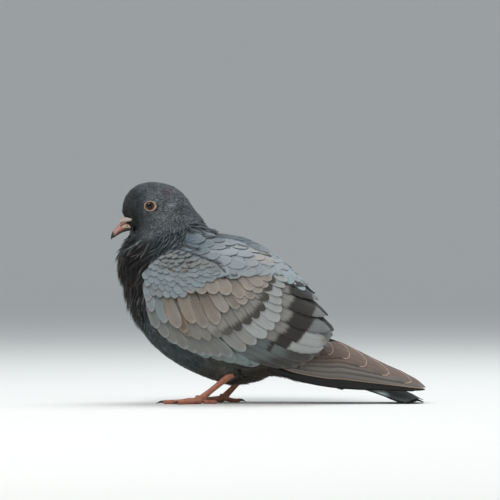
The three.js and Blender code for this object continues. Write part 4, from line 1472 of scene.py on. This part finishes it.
def dress_back():
    """Mantle feathers between the wings, and scapulars over the wings' upper edges."""
    sheet, gathered = cloak_sheet(), Vanes()
    line = np.asarray(BACK_LINE, float)

    def back(p):
        x, z = side_view(p)
        above = z - np.interp(x, line[:, 0], line[:, 1])
        return ease(5, 12, above) * ease(-2, -8, on_neck(p)) * ease(38, 30, x)

    row, column = sheet.spread(MANTLE_FEATHERS, back, 71)
    p, _ = sheet.at(row, column)
    x, _ = side_view(p)
    rng = np.random.default_rng(72)
    length = np.interp(x, (-60, -30, 20), (13, 22, 26)) * rng.uniform(0.9, 1.1, len(p)) * MM
    half = np.interp(x, (-60, -30, 20), (4, 6.4, 7)) * rng.uniform(0.9, 1.1, len(p)) * MM
    rows, columns = sheet.walk(row, column, lie_on(CLOAK_LIE, 6), length, ALONG)
    side = np.where(p[:, 1] > 0, 1, -1)
    made = lay_vanes(sheet, rows, columns, half, (-1.8, 0.2), 0.1, side, (0.5, 0.55, 2.0), seed=73)
    base = row_base(p, HUE["scapular"], 74, -0.9, 0.06)
    base = painted(base, HUE, ("hoar", ease(-25, 0, x) * 0.7), ("mantle", ease(-30, -8, on_neck(p))))
    gathered.add(made, vane_tones(made, base, 0.4, HUE["white"], 0.15, 0.8, 0.8))

    # Soft feathers over the rump, between the folded wings.
    body = body_sheet()

    def rump(p):
        x, y, z = (p[..., k] / MM for k in range(3))
        low = np.interp(x, (20, 40, 53, 65), (74, 40, 22, 12))
        return ease(18, 24, x) * ease(24, 18, np.abs(y)) * (z > low)

    row, column = body.spread(RUMP_FEATHERS, rump, 75)
    p, _ = body.at(row, column)
    length = rng.uniform(15, 19, len(p)) * MM
    rows, columns = body.walk(row, column, lie_on(BODY_LIE, 6), length, ALONG)
    side = np.where(p[:, 1] > 0, 1, -1)
    half = rng.uniform(4.5, 6, len(p)) * MM
    made = lay_vanes(body, rows, columns, half, (-1.6, 0.5), 0.1, side, (0.5, 0.55, 2.0), seed=76)
    base = row_base(p, HUE["rump"], 77, -0.9, 0.08)
    gathered.add(made, vane_tones(made, base, 0.5, HUE["white"], 0.12, 0.8, 0.8))
    for side in SIDES.values():
        for k, (curve, lengths, widths) in enumerate(SCAPULAR_ROWS):
            made, tips, _, at = feather_row(
                sheet, side, curve, lengths, widths, (-1.2, 0.25 + 0.25 * k), 0.2, 80 + k, lie=CLOAK_LIE,
                stagger=0.2 * (k % 2), profile=(0.5, 0.55, 2.3),
            )
            ash, mantle = ease(0.5, 0.8, at) * 0.6, ease(-28, -12, on_neck(tips)) * 0.7
            base = row_base(tips, HUE["scapular"], 80 + k, -0.9, 0.04)
            base = painted(base, HUE, ("ash", ash), ("mantle", mantle))
            gathered.add(made, wash(made, vane_tones(made, base, 0.35, HUE["white"], 0.2, 0.85, 0.75)))
    return gathered


class PIGEON_OT_wings(bpy.types.Operator):
    """Cover both wings with rows of feathers"""

    bl_idname = "pigeon.wings"
    bl_label = "Wing feathers"

    def execute(self, context):
        lo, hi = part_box("trunk")
        centre = np.array([-0.02, 0, (lo.z + hi.z) / 2])
        for name in SIDES:
            piece = dress_wing(name).piece(f"wing_{name}_feathers")
            settle(piece, look("coverts"), "wing_coverts", f"wing_{name}_coverts", f"wing_{name}_secondaries")
            # The cores take the wings' dark brown, painted shade where they show between the feathers.
            for part in ("coverts", "secondaries"):
                core = core_piece(
                    f"wing_{name}_{part}_core", f"wing_{name}_{part}", 3.0, centre, 0.028, "brown"
                )
                settle(core, look("skin"), f"wing_{part}")
        return {"FINISHED"}


class PIGEON_OT_back(bpy.types.Operator):
    """Cover the back and the shoulders with mantle feathers and scapulars"""

    bl_idname = "pigeon.back"
    bl_label = "Back feathers"

    def execute(self, context):
        gathered = dress_back()
        for name, side in SIDES.items():
            piece = gathered.piece(f"back_feathers_{name}", lambda roots: roots[:, 1] * side >= 0)
            settle(piece, look("coverts"), "body_plumage")
        return {"FINISHED"}


# For each primary: its tip along X in mm; how high on the folded wing its tip's point and its lower edge lie
# there, and its lower edge at the root; and over what lengths its upper and lower edges round off to the
# tip.
PRIMARIES = (
    (48.8, 0.74, 0.64, 0.62, 5.1, 4),
    (61.5, 0.73, 0.57, 0.52, 7, 5),
    (74.5, 0.72, 0.49, 0.42, 10.6, 5.5),
    (91.5, 0.60, 0.42, 0.32, 14.4, 5.5),
    (108.5, 0.54, 0.30, 0.23, 10.5, 5.5),
    (119.2, 0.42, 0.14, 0.15, 7, 4),
)
TAIL_PAIRS = 6
TIPPED = 1 - (1 - np.linspace(0, 1, 70)) ** 2.4  # stations close together near a tip


def panel_vane(sheet, stations, x, low, high, up, own):
    """One vane on a panel: its stations along X, and its lower and upper edges as shares of the panel's
    width."""
    row = (x - stations[0]) / (stations[1] - stations[0]) * (sheet.rows - 1)
    column = (high[:, None] + (low - high)[:, None] * (0.5 + 0.5 * ACROSS[None, :])) * (sheet.columns - 1)
    row = np.repeat(row[:, None], len(ACROSS), 1)
    p, n = sheet.at(row, column)
    points = (p + n * (up * MM)[..., None])[None]
    vane = np.empty(points.shape)
    share = (x - x[0]) / (x[-1] - x[0])
    vane[..., 0], vane[..., 1], vane[..., 2] = share[None, :, None], 0.5 + 0.5 * ACROSS, own
    return points, vane, np.array([[0.5, own]])


def lay_primaries(name, side):
    """The primaries of one wing, over a core painted dark as the shade beneath them."""
    node = f"wing_{name}_primaries"
    lo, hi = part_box(node)
    stations = (lo.x / MM - 15, hi.x / MM - 0.4)
    sheet = panel_sheet(node, np.array([0, 0, 1.0]), np.array([0, side * 1.0, 0.45]), stations, 50)
    wide = np.linalg.norm(sheet.points[:, -1] - sheet.points[:, 0], axis=1) / MM
    gathered = Vanes()

    # A strip below the vanes is painted near-black as the shaded underside of the folded wing.
    x = stations[0] + (stations[1] - 1 - stations[0]) * TIPPED
    strip = 0.16 * ease(-30, 50, x)
    made = panel_vane(sheet, stations, x, 0 * x, strip, 0 * ACROSS[None, :] - 0.5, 0.9)
    gathered.add(made, plain(HUE["shadow_black"], made[1]).copy())

    for k, (tip, point, low_tip, low_root, upper, lower) in enumerate(PRIMARIES):
        x = stations[0] + (tip - stations[0]) * TIPPED
        share = (x - stations[0]) / (tip - stations[0])
        bottom = low_root + (low_tip - low_root) * share**1.15
        fall = np.sqrt(1 - np.clip((x - tip + upper) / upper, 0, 1) ** 2)
        rise = np.sqrt(1 - np.clip((x - tip + lower) / lower, 0, 1) ** 2)
        high = point + (0.995 - point) * fall
        low = point - (point - bottom) * rise
        up = 0.16 * (5 - k) - 0.3 + 0.22 * ACROSS[None, :] * np.ones((len(x), 1))
        made = panel_vane(sheet, stations, x, low, high, up, k / 7)
        vane = made[1]
        s = vane[..., 1] * 2 - 1
        height = high[None, :, None] + (low - high)[None, :, None] * vane[..., 1]
        base = mix(plain(HUE["primary"], vane), HUE["primary_grey"], ease(0.62, 0.35, height))
        streak = 1 + 0.08 * np.sin(height * 90 + k * 2) + 0.05 * np.sin(height * 211 + k)
        dusk = np.exp(-(((x - tip + 7) / 6) ** 2))[None, :, None] * ease(0, 0.8, s) * 0.3
        colours = base * (streak * (1 - dusk))[..., None]
        # A painted shadow line along each primary's lower edge, short of its tip.
        lower_edge_shadow = 0.5 * ease(0.8, 1, s) * ease(tip - 2, tip - 8, x)[None, :, None]
        colours = colours * (1 - lower_edge_shadow)[..., None]
        last = PANEL_ROWS - 1
        row = (x - stations[0]) / (stations[1] - stations[0]) * last
        across = wide[np.clip(row, 0, last).astype(int)]
        gap = (1 - np.abs(s)) / 2 * ((high - low) * across)[None, :, None]
        above = ease(tip - upper - 4, tip - upper + 3, x)[None, :, None] * 0.9 + 0.1
        below = ease(tip - lower - 1, tip - lower + 1, x)[None, :, None]
        curved = np.where(s < 0, above, below)
        rim = np.maximum(ease(1.15, 0.65, gap) * curved, ease(tip - 0.9, tip - 0.5, x)[None, :, None])
        if k == len(PRIMARIES) - 1:
            rim = np.maximum(rim, ease(0.9, 0.4, gap) * (s > 0) * 0.6)
        gathered.add(made, mix(colours, HUE["buff"], rim))
    settle(gathered.piece(f"wing_{name}_primary_feathers"), look("quills"), "wing_primaries", node)
    centre = np.array([(lo.x + hi.x) / 2, -side * 0.05, 0])
    # The core is near-black, painted shade under the primaries.
    core = core_piece(f"wing_{name}_primaries_core", node, 1.0, centre, hi.x - 0.012)
    settle(core, look("skin"), "wing_primaries")


class PIGEON_OT_primaries(bpy.types.Operator):
    """Lay the primaries of each wing, one over another"""

    bl_idname = "pigeon.primaries"
    bl_label = "Primaries"

    def execute(self, context):
        for name, side in SIDES.items():
            lay_primaries(name, side)
        return {"FINISHED"}


def tail_vane(sheet, stations, face, side, k):
    """A tail feather's vane and colours, on the upper or the lower face, the k-th from the middle."""
    tip = stations[1] - 10.5 * (k / 5) ** 2
    x = stations[0] + (tip - stations[0]) * TIPPED
    share = (x - stations[0]) / (tip - stations[0])
    middle = 0.5 + side * (0.035 + 0.083 * k) * (0.55 + 0.45 * share)
    half = 0.105 * vane_width(share, 0.9, 0.86, 2.2)
    inner, outer = middle - side * half, middle + side * half
    order = TAIL_PAIRS - 1 - k if face > 0 else k
    up = 0.1 * order - 0.15 - 0.12 * face * ACROSS[None, :] * np.ones((len(x), 1))
    own = (k + TAIL_PAIRS * (side > 0)) / (2 * TAIL_PAIRS + 1)
    edges = np.clip(outer, 0, 1), np.clip(inner, 0, 1)
    made = panel_vane(sheet, stations, x, *edges, up, own)
    base = HUE["tail"] * (1.6 if face < 0 else 1)
    colours = vane_tones(made, base[None], 0.1, HUE["tail"] * 2.2, 0.5, 0.8)
    if k == TAIL_PAIRS - 1:
        white = ease(0.55, 0.8, made[1][..., 1]) * ease(0.75, 0.5, made[1][..., 0])
        colours = mix(colours, HUE["snow"], white * 0.8)
    return made, colours


class PIGEON_OT_tail(bpy.types.Operator):
    """Lay the tail feathers, the middle pair on top"""

    bl_idname = "pigeon.tail"
    bl_label = "Tail feathers"

    def execute(self, context):
        gathered = Vanes()
        lo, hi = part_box("tail")
        stations = (lo.x / MM + 0.8, hi.x / MM - 0.4)
        for face in (1, -1):
            sheet = panel_sheet("tail", np.array([0, 1.0, 0]), np.array([0, 0, face * 1.0]), stations)
            for side in (-1, 1):
                for k in range(TAIL_PAIRS):
                    gathered.add(*tail_vane(sheet, stations, face, side, k))

        # The outer web of the outermost pair turns down over the tail's edge, white before its tip.
        for side in (-1, 1):
            shown = (62, stations[1] - 11)
            edge = panel_sheet("tail", np.array([0, 0, 1.0]), np.array([0, side * 1.0, 0.1]), shown)
            x = shown[0] + (shown[1] - shown[0]) * TIPPED
            made = panel_vane(edge, shown, x, 0 * x + 0.02, 0 * x + 0.98, 0.1 + 0 * ACROSS[None, :], 0.95)
            line = ease(0.56, 0.68, made[1][..., 1]) * ease(1, 0.95, made[1][..., 1])
            white = ease(66, 72, x)[None, :, None] * ease(93, 84, x)[None, :, None] * line
            gathered.add(made, mix(plain(HUE["tail"], made[1]), HUE["snow"], white * 0.85))
        settle(gathered.piece("tail_vanes"), look("quills"), "tail_feathers", "tail")
        # The core is near-black, as painted shade where it shows between the tail's vanes.
        settle(core_piece("tail_core", "tail", 0.7), look("skin"), "tail_feathers")
        return {"FINISHED"}


def tube(path, radii, columns=24, up=(0, 0, 1)):
    """Rings of points round a path. radii gives the half width across and up for each ring."""
    path, radii = np.asarray(path, float), np.asarray(radii, float)
    way = unit(np.gradient(path, axis=0))
    side = unit(np.cross(way, np.asarray(up, float)))
    top = np.cross(side, way)
    turn = round_turn(columns)
    across = np.cos(turn)[None, :, None] * side[:, None, :] * radii[:, None, 0:1]
    return path[:, None, :] + across + np.sin(turn)[None, :, None] * top[:, None, :] * radii[:, None, 1:2]


BILL_HUES = {
    "pink": "a57d70", "blush": "a45a4c", "horn": "4a494b", "tip": "252628", "pale": "b39c8c",
    "cere": "b8a9a0", "slit": "3b2014", "ring": "9a8474", "lid": "4b4039", "iris": "33200f",
    "glow": "6e481f", "iris_rim": "1c120b", "pupil": "050505", "eye_rim": "0d0a08",
}
HORN = {name: shade(code) for name, code in BILL_HUES.items()}
# Lines across the bill, as on the body, and the soft lobes along it: x, z, half the width and half the
# height, in mm.
UPPER_BILL_LINES = (
    (-105.4, 141.2, -101.4, 134.4), (-110, 139.8, -106.6, 132.4), (-113.6, 136.2, -110.4, 130.8),
    (-116.6, 132.9, -113.6, 129.1), (-119, 129.4, -116.4, 127), (-119.8, 126.2, -118.6, 125.2),
    (-119.8, 124.6, -119.5, 124.3),
)
LOWER_BILL_LINES = (
    (-102.4, 133.6, -102.4, 131.0), (-106.6, 131.9, -107.6, 130), (-111.4, 129.9, -112.4, 128.2),
    (-115.6, 127.2, -116, 126), (-117.9, 125.2, -118, 124.7),
)
NOSTRIL_FLAP = (
    (-112.0, 133.4, 0.2, 0.2), (-110.4, 133.9, 0.7, 1.0), (-107.8, 134.5, 1.0, 1.7),
    (-105.2, 134.7, 1.0, 1.9), (-103.3, 134.3, 0.8, 1.4), (-101.8, 134.0, 0.2, 0.2),
)
CERE_LOBE = (
    (-113.1, 137.4, 0.2, 0.2), (-112.2, 138.0, 1.1, 0.9), (-110.4, 138.9, 1.8, 1.7),
    (-108.3, 139.5, 2.0, 2.0), (-106, 139.8, 1.7, 1.8), (-103.8, 139.9, 1.4, 1.4),
    (-101.4, 140.0, 1.0, 1.0), (-99.2, 140.0, 0.2, 0.2),
)


def lobe(table, side, tree, sink, widest, spread=0.0):
    """Rings of a soft lobe lying along one side of the bill, no farther from the middle than the widest,
    and running back over the face."""
    table = smooth_rows(table, np.linspace(0, len(table) - 1, 40))
    clear, deep = 0.03, []
    for x, z in table[:, :2] * MM:
        hit = tree.ray_cast(Vector((x, side * clear, z)), Vector((0, -side, 0)), clear)
        deep.append(0.001 if hit[0] is None else abs(hit[0].y))
    deep = np.convolve(np.pad(np.array(deep) / MM, 4, mode="edge"), np.ones(9) / 9, "valid")
    most = widest + np.clip(table[:, 0] + 107.5, 0, 9) * spread
    path = np.stack([table[:, 0], side * np.clip(deep - sink, 0.6, most), table[:, 1]], 1)
    return tube(path * MM, np.maximum(table[:, 2:], 0.1) * MM)


class PIGEON_OT_bill(bpy.types.Operator):
    """Shape the bill and the cere"""

    bl_idname = "pigeon.bill"
    bl_label = "Bill"

    def execute(self, context):
        for node, lines, slot in (
            ("bill_upper", UPPER_BILL_LINES, "bill_horn"), ("bill_lower", LOWER_BILL_LINES, "bill_dark_horn")
        ):
            sheet = wrapped_sheet((node,), lines, 90, 48, 1, 2)
            points = sheet.points
            x, z = side_view(points)
            if node == "bill_upper":
                edge = z - np.interp(x, (-119.5, -113.6, -106.6, -100.5), (124.5, 129.1, 132.4, 134.8))
                culmen = ease(0.8, 0.97, sheet.normals[..., 2]) * ease(-112, -114.5, x)
                slit = ease(1.0, 0.4, np.abs(z - 135.7 - 0.43 * (x + 109.6)))
                slit = slit * ease(-113.4, -112.2, x) * ease(-105.6, -106.8, x)
                colours = painted(
                    plain(HORN["pink"], points),
                    HORN,
                    ("blush", bump((x + 111.6) / 3.6, (edge - 2.2) / 1.6) * 0.9),
                    # A painted highlight along the culmen's side.
                    ("pale", bump((x + 114.6) / 2.2, (edge - 3.6) / 1.2) * 0.7),
                    ("pale", ease(-109, -106.5, x) * 0.8),
                    ("tip", ease(1.0, 0.2, edge) * 0.85),
                    ("horn", culmen * 0.6),
                    # The nostril's slit, pressed in, is painted dark as the shade inside it.
                    ("slit", slit * 0.95),
                    ("tip", ease(-116.2, -118.4, x + 0.25 * (edge - 2))),
                )
                points = points - sheet.normals * (slit * 0.35 * MM)[..., None]
            else:
                colours = plain(HORN["tip"], points)
                rise = 0.6 + 0.6 * ease(-0.4, 0.6, sheet.normals[..., 2:3])
                points = points + np.array([0, 0, 1.0]) * rise * MM
            colours = colours * (1 + 0.1 * mottle(points, 1.4, 91))[..., None]
            settle(ring_piece(f"{node}_horn", points, colours), look("horn"), slot, node)
        tree = ray_tree(("bill_upper", "head", "cere"))
        for name, side in SIDES.items():
            points = lobe(CERE_LOBE, side, tree, 0.9, 4.9, 0.75)
            colours = HORN["cere"] * (1 + 0.1 * mottle(points, 1.2, 92))[..., None]
            colours = mix(colours, HORN["lid"], ease(-105, -101, points[..., 0] / MM) * 0.8)
            piece = ring_piece(f"cere_{name}", points, colours)
            settle(piece, look("soft"), "cere_skin", *(("cere",) if side < 0 else ()))
            points = lobe(NOSTRIL_FLAP, side, tree, 0.5, 4.6)
            colours = HORN["pale"] * (1 + 0.1 * mottle(points, 1.1, 93))[..., None]
            settle(ring_piece(f"nostril_flap_{name}", points, colours), look("soft"), "cere_skin")
        return {"FINISHED"}


def dress_eye(name, side, sheet):
    """One eyeball, and round it the ring of bare skin."""
    lo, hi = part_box(f"eye_{name}")
    centre = np.array([(a + b) / 2 for a, b in zip(lo, hi)])
    radius = (hi.x - lo.x) / 2
    polar = np.linspace(0.02, 2.6, 70)
    turn = round_turn(72)
    ball = np.stack(
        [
            np.sin(polar)[:, None] * np.cos(turn),
            side * np.cos(polar)[:, None] * np.ones(72),
            np.sin(polar)[:, None] * np.sin(turn),
        ],
        -1,
    )
    swell = 1 + 0.05 * np.exp(-((polar / 0.75) ** 4))
    points = centre + ball * (radius * swell)[:, None, None]
    out = np.where(polar > 1.6, 9, np.sin(polar) * radius / MM)[:, None] * np.ones(72)
    spokes = mottle(np.stack([np.cos(turn * 9), np.sin(turn * 9), turn * 0], -1) * 3 * MM, 2, 17)
    # The iris's own amber outer part, made stronger on its lower side as painted light.
    glow = ease(2.2, 3.0, out) * (0.75 - 0.45 * np.sin(turn))
    colours = mix(plain(HORN["iris"], points), HORN["glow"], glow) * (1 + 0.2 * spokes)[None, :, None]
    rim, pupil, edge = ease(2.25, 1.9, out), ease(1.95, 1.8, out), ease(3.1, 3.35, out)
    colours = painted(colours, HORN, ("iris_rim", rim), ("pupil", pupil), ("eye_rim", edge))
    settle(ring_piece(f"eye_{name}_ball", points, colours), look("eye"), "eye", f"eye_{name}")

    turn = round_turn(96)
    across = np.linspace(0, 1, 13)
    c, s = np.cos(turn), np.sin(turn)
    inner = np.stack([3.4 * c, 3.15 * s], 1)
    outer = np.stack([(4.7 + 0.5 * (c > 0) * c**4) * c + 0.15, 4.1 * s - 0.1], 1)
    flat = inner + (outer - inner) * across[:, None, None] + np.array([centre[0], centre[2]]) / MM
    rim = np.abs(sheet.at(*sheet.seen_from(side, flat[-1][:, 0], flat[-1][:, 1]))[0][:, 1]) / MM
    deep = np.sqrt(np.maximum((radius / MM) ** 2 - (inner**2).sum(1), 0.5))
    ball_y = abs(centre[1]) / MM + deep
    base = (ball_y - 0.35) * (1 - across[:, None]) + (rim - 0.5) * across[:, None]
    bulge = 0.95 * np.sin(np.pi * np.clip(across * 0.92 + 0.04, 0, 1)) ** 0.7
    bulge = bulge + 0.1 * np.sin(across * 3 * np.pi)
    y = base + bulge[:, None] * (1 + 0.06 * np.sin(turn * 17))
    points = np.stack([flat[..., 0], side * y, flat[..., 1]], -1) * MM
    # Lighter along the ring's raised middle, darker to both edges: painted light and shade on its bulge.
    tones = 0.6 + 0.55 * np.sin(np.pi * across) ** 0.6
    colours = plain(HORN["ring"], points) * tones[:, None, None]
    colours = mix(colours, HORN["lid"], ease(0.25, 0.0, across)[:, None] * np.ones(96))
    colours = colours * (1 + 0.1 * mottle(points, 1.0, 19))[..., None]
    settle(ring_piece(f"eye_{name}_ring", points, colours), look("soft"), "cere_skin")


class PIGEON_OT_eyes(bpy.types.Operator):
    """Set the eyes in their rings of bare skin"""

    bl_idname = "pigeon.eyes"
    bl_label = "Eyes"

    def execute(self, context):
        sheet = body_sheet()
        for name, side in SIDES.items():
            dress_eye(name, side, sheet)
        return {"FINISHED"}


LEG_CODES = {"near": "b3755e", "deep": "6e3f33", "plate": "c78c74", "claw": "1c1b1c"}
LEG_HUES = {name: shade(code) for name, code in LEG_CODES.items()}


def limb_rings(nodes, start, end, rows, columns):
    """Rings of points on the surface of a limb, round a straight line inside it. Past the limb's ends the
    last ring's shape is carried on, and both ends are rounded off."""
    tree = ray_tree(nodes)
    way = unit(end - start)
    side = unit(np.cross(way, np.array([0, 0, 1.0])))
    top = np.cross(side, way)
    turn = round_turn(columns)
    middle = start + (end - start) * np.linspace(0, 1, rows)[:, None]
    offsets = np.full((rows, columns, 3), np.nan)
    for i, j in np.ndindex(rows, columns):
        out = np.cos(turn[j]) * side + np.sin(turn[j]) * top
        hit = tree.ray_cast(Vector(middle[i]), Vector(out), 0.006)
        if hit[0] is not None:
            offsets[i, j] = np.array(hit[0][:]) - middle[i]
    sound = np.flatnonzero(~np.isnan(offsets).any((1, 2)))
    nearest = sound[np.abs(np.arange(rows)[:, None] - sound[None, :]).argmin(1)]
    past = np.linspace(0, 1, rows) * np.linalg.norm(end - start) / MM
    ends = np.clip(np.minimum(past, past[-1] - past) / 1.6, 0, 1)
    offsets = offsets[nearest] * np.maximum(1 - (1 - ends) ** 2, 0.02)[:, None, None] ** 0.5
    return middle[:, None, :] + offsets, middle, turn


def axis_ends(node):
    """The two ends of a slim solid's long axis."""
    points = np.array([v.co[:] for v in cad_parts[node].data.vertices])
    middle = points.mean(0)
    axis = np.linalg.svd(points - middle, full_matrices=False)[2][0]
    reach = (points - middle) @ axis
    ends = []
    for sign in (reach.min(), reach.max()):
        near = points[np.abs(reach - sign) < 0.0012]
        ends.append(near.mean(0))
    return ends


def scuted(rings, middle, turn, length, plate=1.7, rise=0.16):
    """Raises plates over the front and top of a limb, and fine grains behind. The plates get a painted
    highlight on their raised edges, and painted shade lies in the grooves between them and behind.
    """
    out = unit(rings - middle[:, None, :])
    step = np.linspace(0, length / MM / plate, len(rings))
    tooth = (1 - (step % 1)) * ease(0, 0.12, step % 1)
    upper = ease(-0.1, 0.5, np.sin(turn))
    grain = mottle(rings, 0.8, 61)
    floor = ease(0.0002, 0.0008, rings[..., 2])
    raised = (tooth[:, None] * upper * rise + (1 - upper) * 0.05 * grain) * floor
    # Painted shade in the grooves between the plates and on the side away from them.
    groove = ease(0.16, 0.0, step % 1)[:, None] * upper
    deep = np.maximum(groove * 0.9, (1 - upper) * 0.45)
    colours = plain(LEG_HUES["near"], rings)
    # A painted highlight on the plates' raised edges, then the painted shade.
    colours = painted(colours, LEG_HUES, ("plate", tooth[:, None] * upper * 0.6), ("deep", deep))
    colours = colours * (1 + 0.12 * mottle(rings, 2.5, 62) + 0.08 * grain)[..., None]
    return rings + out * raised[..., None] * MM, colours


# In metres: how far the shank's scales run past its lower and its upper end, how far inwards they lean at
# the top, how far below the shank the foot's ball lies, how high the toes' middle lies at the root and at
# the tip, and how far the toes' scales run on under the claws.
SHANK_BELOW, SHANK_ABOVE, SHANK_LEAN = 0.0022, 0.008, 0.004
BALL_BELOW, TOE_ROOT, TOE_TIP, TOE_RUN = 0.0012, 0.0022, 0.0018, 0.0012
# Along a claw, from its root to its point: the height of its middle, and its radius, in mm.
CLAW_HEIGHTS, CLAW_RADII = (1.7, 1.75, 1.65, 0.35), (1.15, 1.1, 0.75, 0.12)


def dress_leg(name):
    """The scales of one shank and its toes as a single piece, and the claws."""
    foot, shank = f"foot_{name}", f"shank_{name}"
    low, high = sorted(axis_ends(shank), key=lambda end: end[2])
    way = unit(high - low)
    start, end = low - way * SHANK_BELOW, high + way * SHANK_ABOVE
    rings, middle, turn = limb_rings((shank,), start, end, 84, 32)
    past = np.clip((middle - high) @ way, 0, None)
    lean = np.array([0, -np.sign(high[1]), 0.0]) * (past / SHANK_ABOVE * SHANK_LEAN)[:, None]
    rings, middle = rings + lean[:, None, :], middle + lean
    parts = [scuted(rings, middle, turn, np.linalg.norm(end - start))]
    ball = low - way * BALL_BELOW
    ball = np.array([ball[0], ball[1], TOE_ROOT])
    for toe in ("inner", "middle", "outer", "hind"):
        claw = f"claw_{name}_{toe}"
        near, far = sorted(axis_ends(claw), key=lambda end: np.linalg.norm(end[:2] - ball[:2]))
        reach = np.array([near[0], near[1], TOE_TIP])
        stop = ball + unit(reach - ball) * (np.linalg.norm(reach - ball) + TOE_RUN)
        rings, middle, turn = limb_rings((foot,), ball, stop, 52, 28)
        parts.append(scuted(rings, middle, turn, np.linalg.norm(stop - ball)))
        out = unit(far - near)
        path = [near - out * 0.0008, near, (near + far) / 2, far]
        marks = np.linspace(0, 3, 24)
        path = smooth_rows([[*p[:2], z * MM] for p, z in zip(path, CLAW_HEIGHTS)], marks)
        radii = np.interp(marks, range(4), CLAW_RADII)[:, None] * np.array([0.8, 1])
        points = tube(path, radii * MM)
        hue = LEG_HUES["claw"]
        colours = mix(plain(hue, points), hue * 2.5, mottle(points, 2, 63) > 0.6)
        settle(ring_piece(f"{claw}_horn", points, colours), look("horn"), "claw", claw)
    shapes, faces, tones, places, base = [], [], [], [], 0
    for k, (points, colours) in enumerate(parts):
        shape, face, tone, place = closed_ring(points, colours)
        shapes.append(shape)
        faces.append(face + base)
        tones.append(tone)
        places.append(place * np.array([1, 0.19]) + np.array([0, k / 5]))
        base += len(shape)
    join = np.concatenate
    piece = mesh_piece(f"leg_{name}_scales", join(shapes), join(faces), join(tones), None, join(places))
    settle(piece, look("legs"), "leg_scales", foot, shank)


class PIGEON_OT_legs(bpy.types.Operator):
    """Cover shanks and toes with scales, and give the toes their claws"""

    bl_idname = "pigeon.legs"
    bl_label = "Legs"

    def execute(self, context):
        for name in SIDES:
            dress_leg(name)
        return {"FINISHED"}


# The floor's flat part reaches this far, in metres, then turns up in a bend of this radius and angle.
FLOOR_REACH, FLOOR_BEND, FLOOR_RISE = 5, 3.0, 80
BACKDROP = 0.55  # how bright the even light from all round is
# The soft lights: name, place, width, power and colour. They all point at one spot.
LAMPS = (
    ("Key", (-0.7, -1.1, 1.6), 1.1, 26, (1, 0.98, 0.95)),
    ("Sky", (0.3, 0.5, 1.7), 1.4, 22, (0.92, 0.96, 1)),
    ("Fill", (1.2, -1.3, 0.6), 1.4, 5, (1, 1, 1)),
)
LIT_SPOT = Vector((0, 0, 0.08))
CAMERA_X, CAMERA_Z = -0.01406, 0.1163


class PIGEON_OT_stage(bpy.types.Operator):
    """Set the floor, the light and the camera"""

    bl_idname = "pigeon.stage"
    bl_label = "Stage"

    def execute(self, context):
        scene, settings = context.scene, context.scene.pigeon_stage
        rise = np.radians(np.linspace(0, FLOOR_RISE, 12))[:, None]
        across = np.concatenate([[[0.001]], FLOOR_REACH + FLOOR_BEND * np.sin(rise)])
        up = np.concatenate([[[0.0]], FLOOR_BEND * (1 - np.cos(rise))])
        around = np.radians(np.linspace(0, 360, 97))
        points = np.stack([across * np.cos(around), across * np.sin(around), up * np.ones(97)], -1)
        faces = strip_faces(1, *points.shape[:2])[:, ::-1]
        floor = mesh_piece("studio_floor", points, faces, np.full(points.shape, 0.8))
        paper = bpy.data.materials.new("Floor Paper")
        paper.use_nodes = True
        shader = paper.node_tree.nodes["Principled BSDF"]
        shader.inputs["Base Color"].default_value = (0.83, 0.83, 0.8, 1)
        shader.inputs["Roughness"].default_value = 0.9
        floor.data.materials.append(paper)
        floor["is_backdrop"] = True

        world = bpy.data.worlds.new("Studio")
        world.use_nodes = True
        backdrop = world.node_tree.nodes["Background"]
        backdrop.inputs["Color"].default_value = (0.87, 0.93, 1, 1)
        backdrop.inputs["Strength"].default_value = BACKDROP * settings.light
        scene.world = world
        for name, place, size, power, colour in LAMPS:
            data = bpy.data.lights.new(name, "AREA")
            data.shape, data.size = "DISK", size
            data.energy, data.color = power * settings.light, colour
            lamp = bpy.data.objects.new(name, data)
            lamp.location = place
            lamp.rotation_euler = (LIT_SPOT - Vector(place)).to_track_quat("-Z", "Y").to_euler()
            scene.collection.objects.link(lamp)

        data = bpy.data.cameras.new("Camera")
        data.sensor_width = 36
        data.lens = data.sensor_width * settings.distance / settings.field
        camera = bpy.data.objects.new("Camera", data)
        camera.location = (CAMERA_X, -settings.distance, CAMERA_Z)
        camera.rotation_euler = (np.radians(90), 0, 0)
        scene.collection.objects.link(camera)
        scene.camera = camera
        scene.view_settings.view_transform = "Standard"
        return {"FINISHED"}


class PIGEON_PT_panel(bpy.types.Panel):
    """The pieces of the bird, in the order in which they are made"""

    bl_label = "Pigeon"
    bl_space_type = "VIEW_3D"
    bl_region_type = "UI"
    bl_category = "Pigeon"

    def draw(self, context):
        for group in (context.scene.pigeon_coat, context.scene.pigeon_stage):
            for name in group.__annotations__:
                self.layout.prop(group, name)
        for operator in OPERATORS:
            self.layout.operator(operator.bl_idname)


OPERATORS = (
    PIGEON_OT_skin,
    PIGEON_OT_head_coat,
    PIGEON_OT_neck_coat,
    PIGEON_OT_body_coat,
    PIGEON_OT_wings,
    PIGEON_OT_back,
    PIGEON_OT_primaries,
    PIGEON_OT_tail,
    PIGEON_OT_bill,
    PIGEON_OT_eyes,
    PIGEON_OT_legs,
    PIGEON_OT_stage,
)
CLASSES = (PigeonCoat, PigeonStage) + OPERATORS + (PIGEON_PT_panel,)


def register():
    for cls in CLASSES:
        bpy.utils.register_class(cls)
    bpy.types.Scene.pigeon_coat = PointerProperty(type=PigeonCoat)
    bpy.types.Scene.pigeon_stage = PointerProperty(type=PigeonStage)


def unregister():
    del bpy.types.Scene.pigeon_coat
    del bpy.types.Scene.pigeon_stage
    for cls in reversed(CLASSES):
        bpy.utils.unregister_class(cls)


def main():
    register()
    for operator in OPERATORS:
        group, name = operator.bl_idname.split(".")
        getattr(getattr(bpy.ops, group), name)()
    boxes = {"cad": CAD_BOX, "visual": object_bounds()}
    {key: [list(map(float, corner)) for corner in box] for key, box in boxes.items()}


if __name__ == "__main__":
    main()
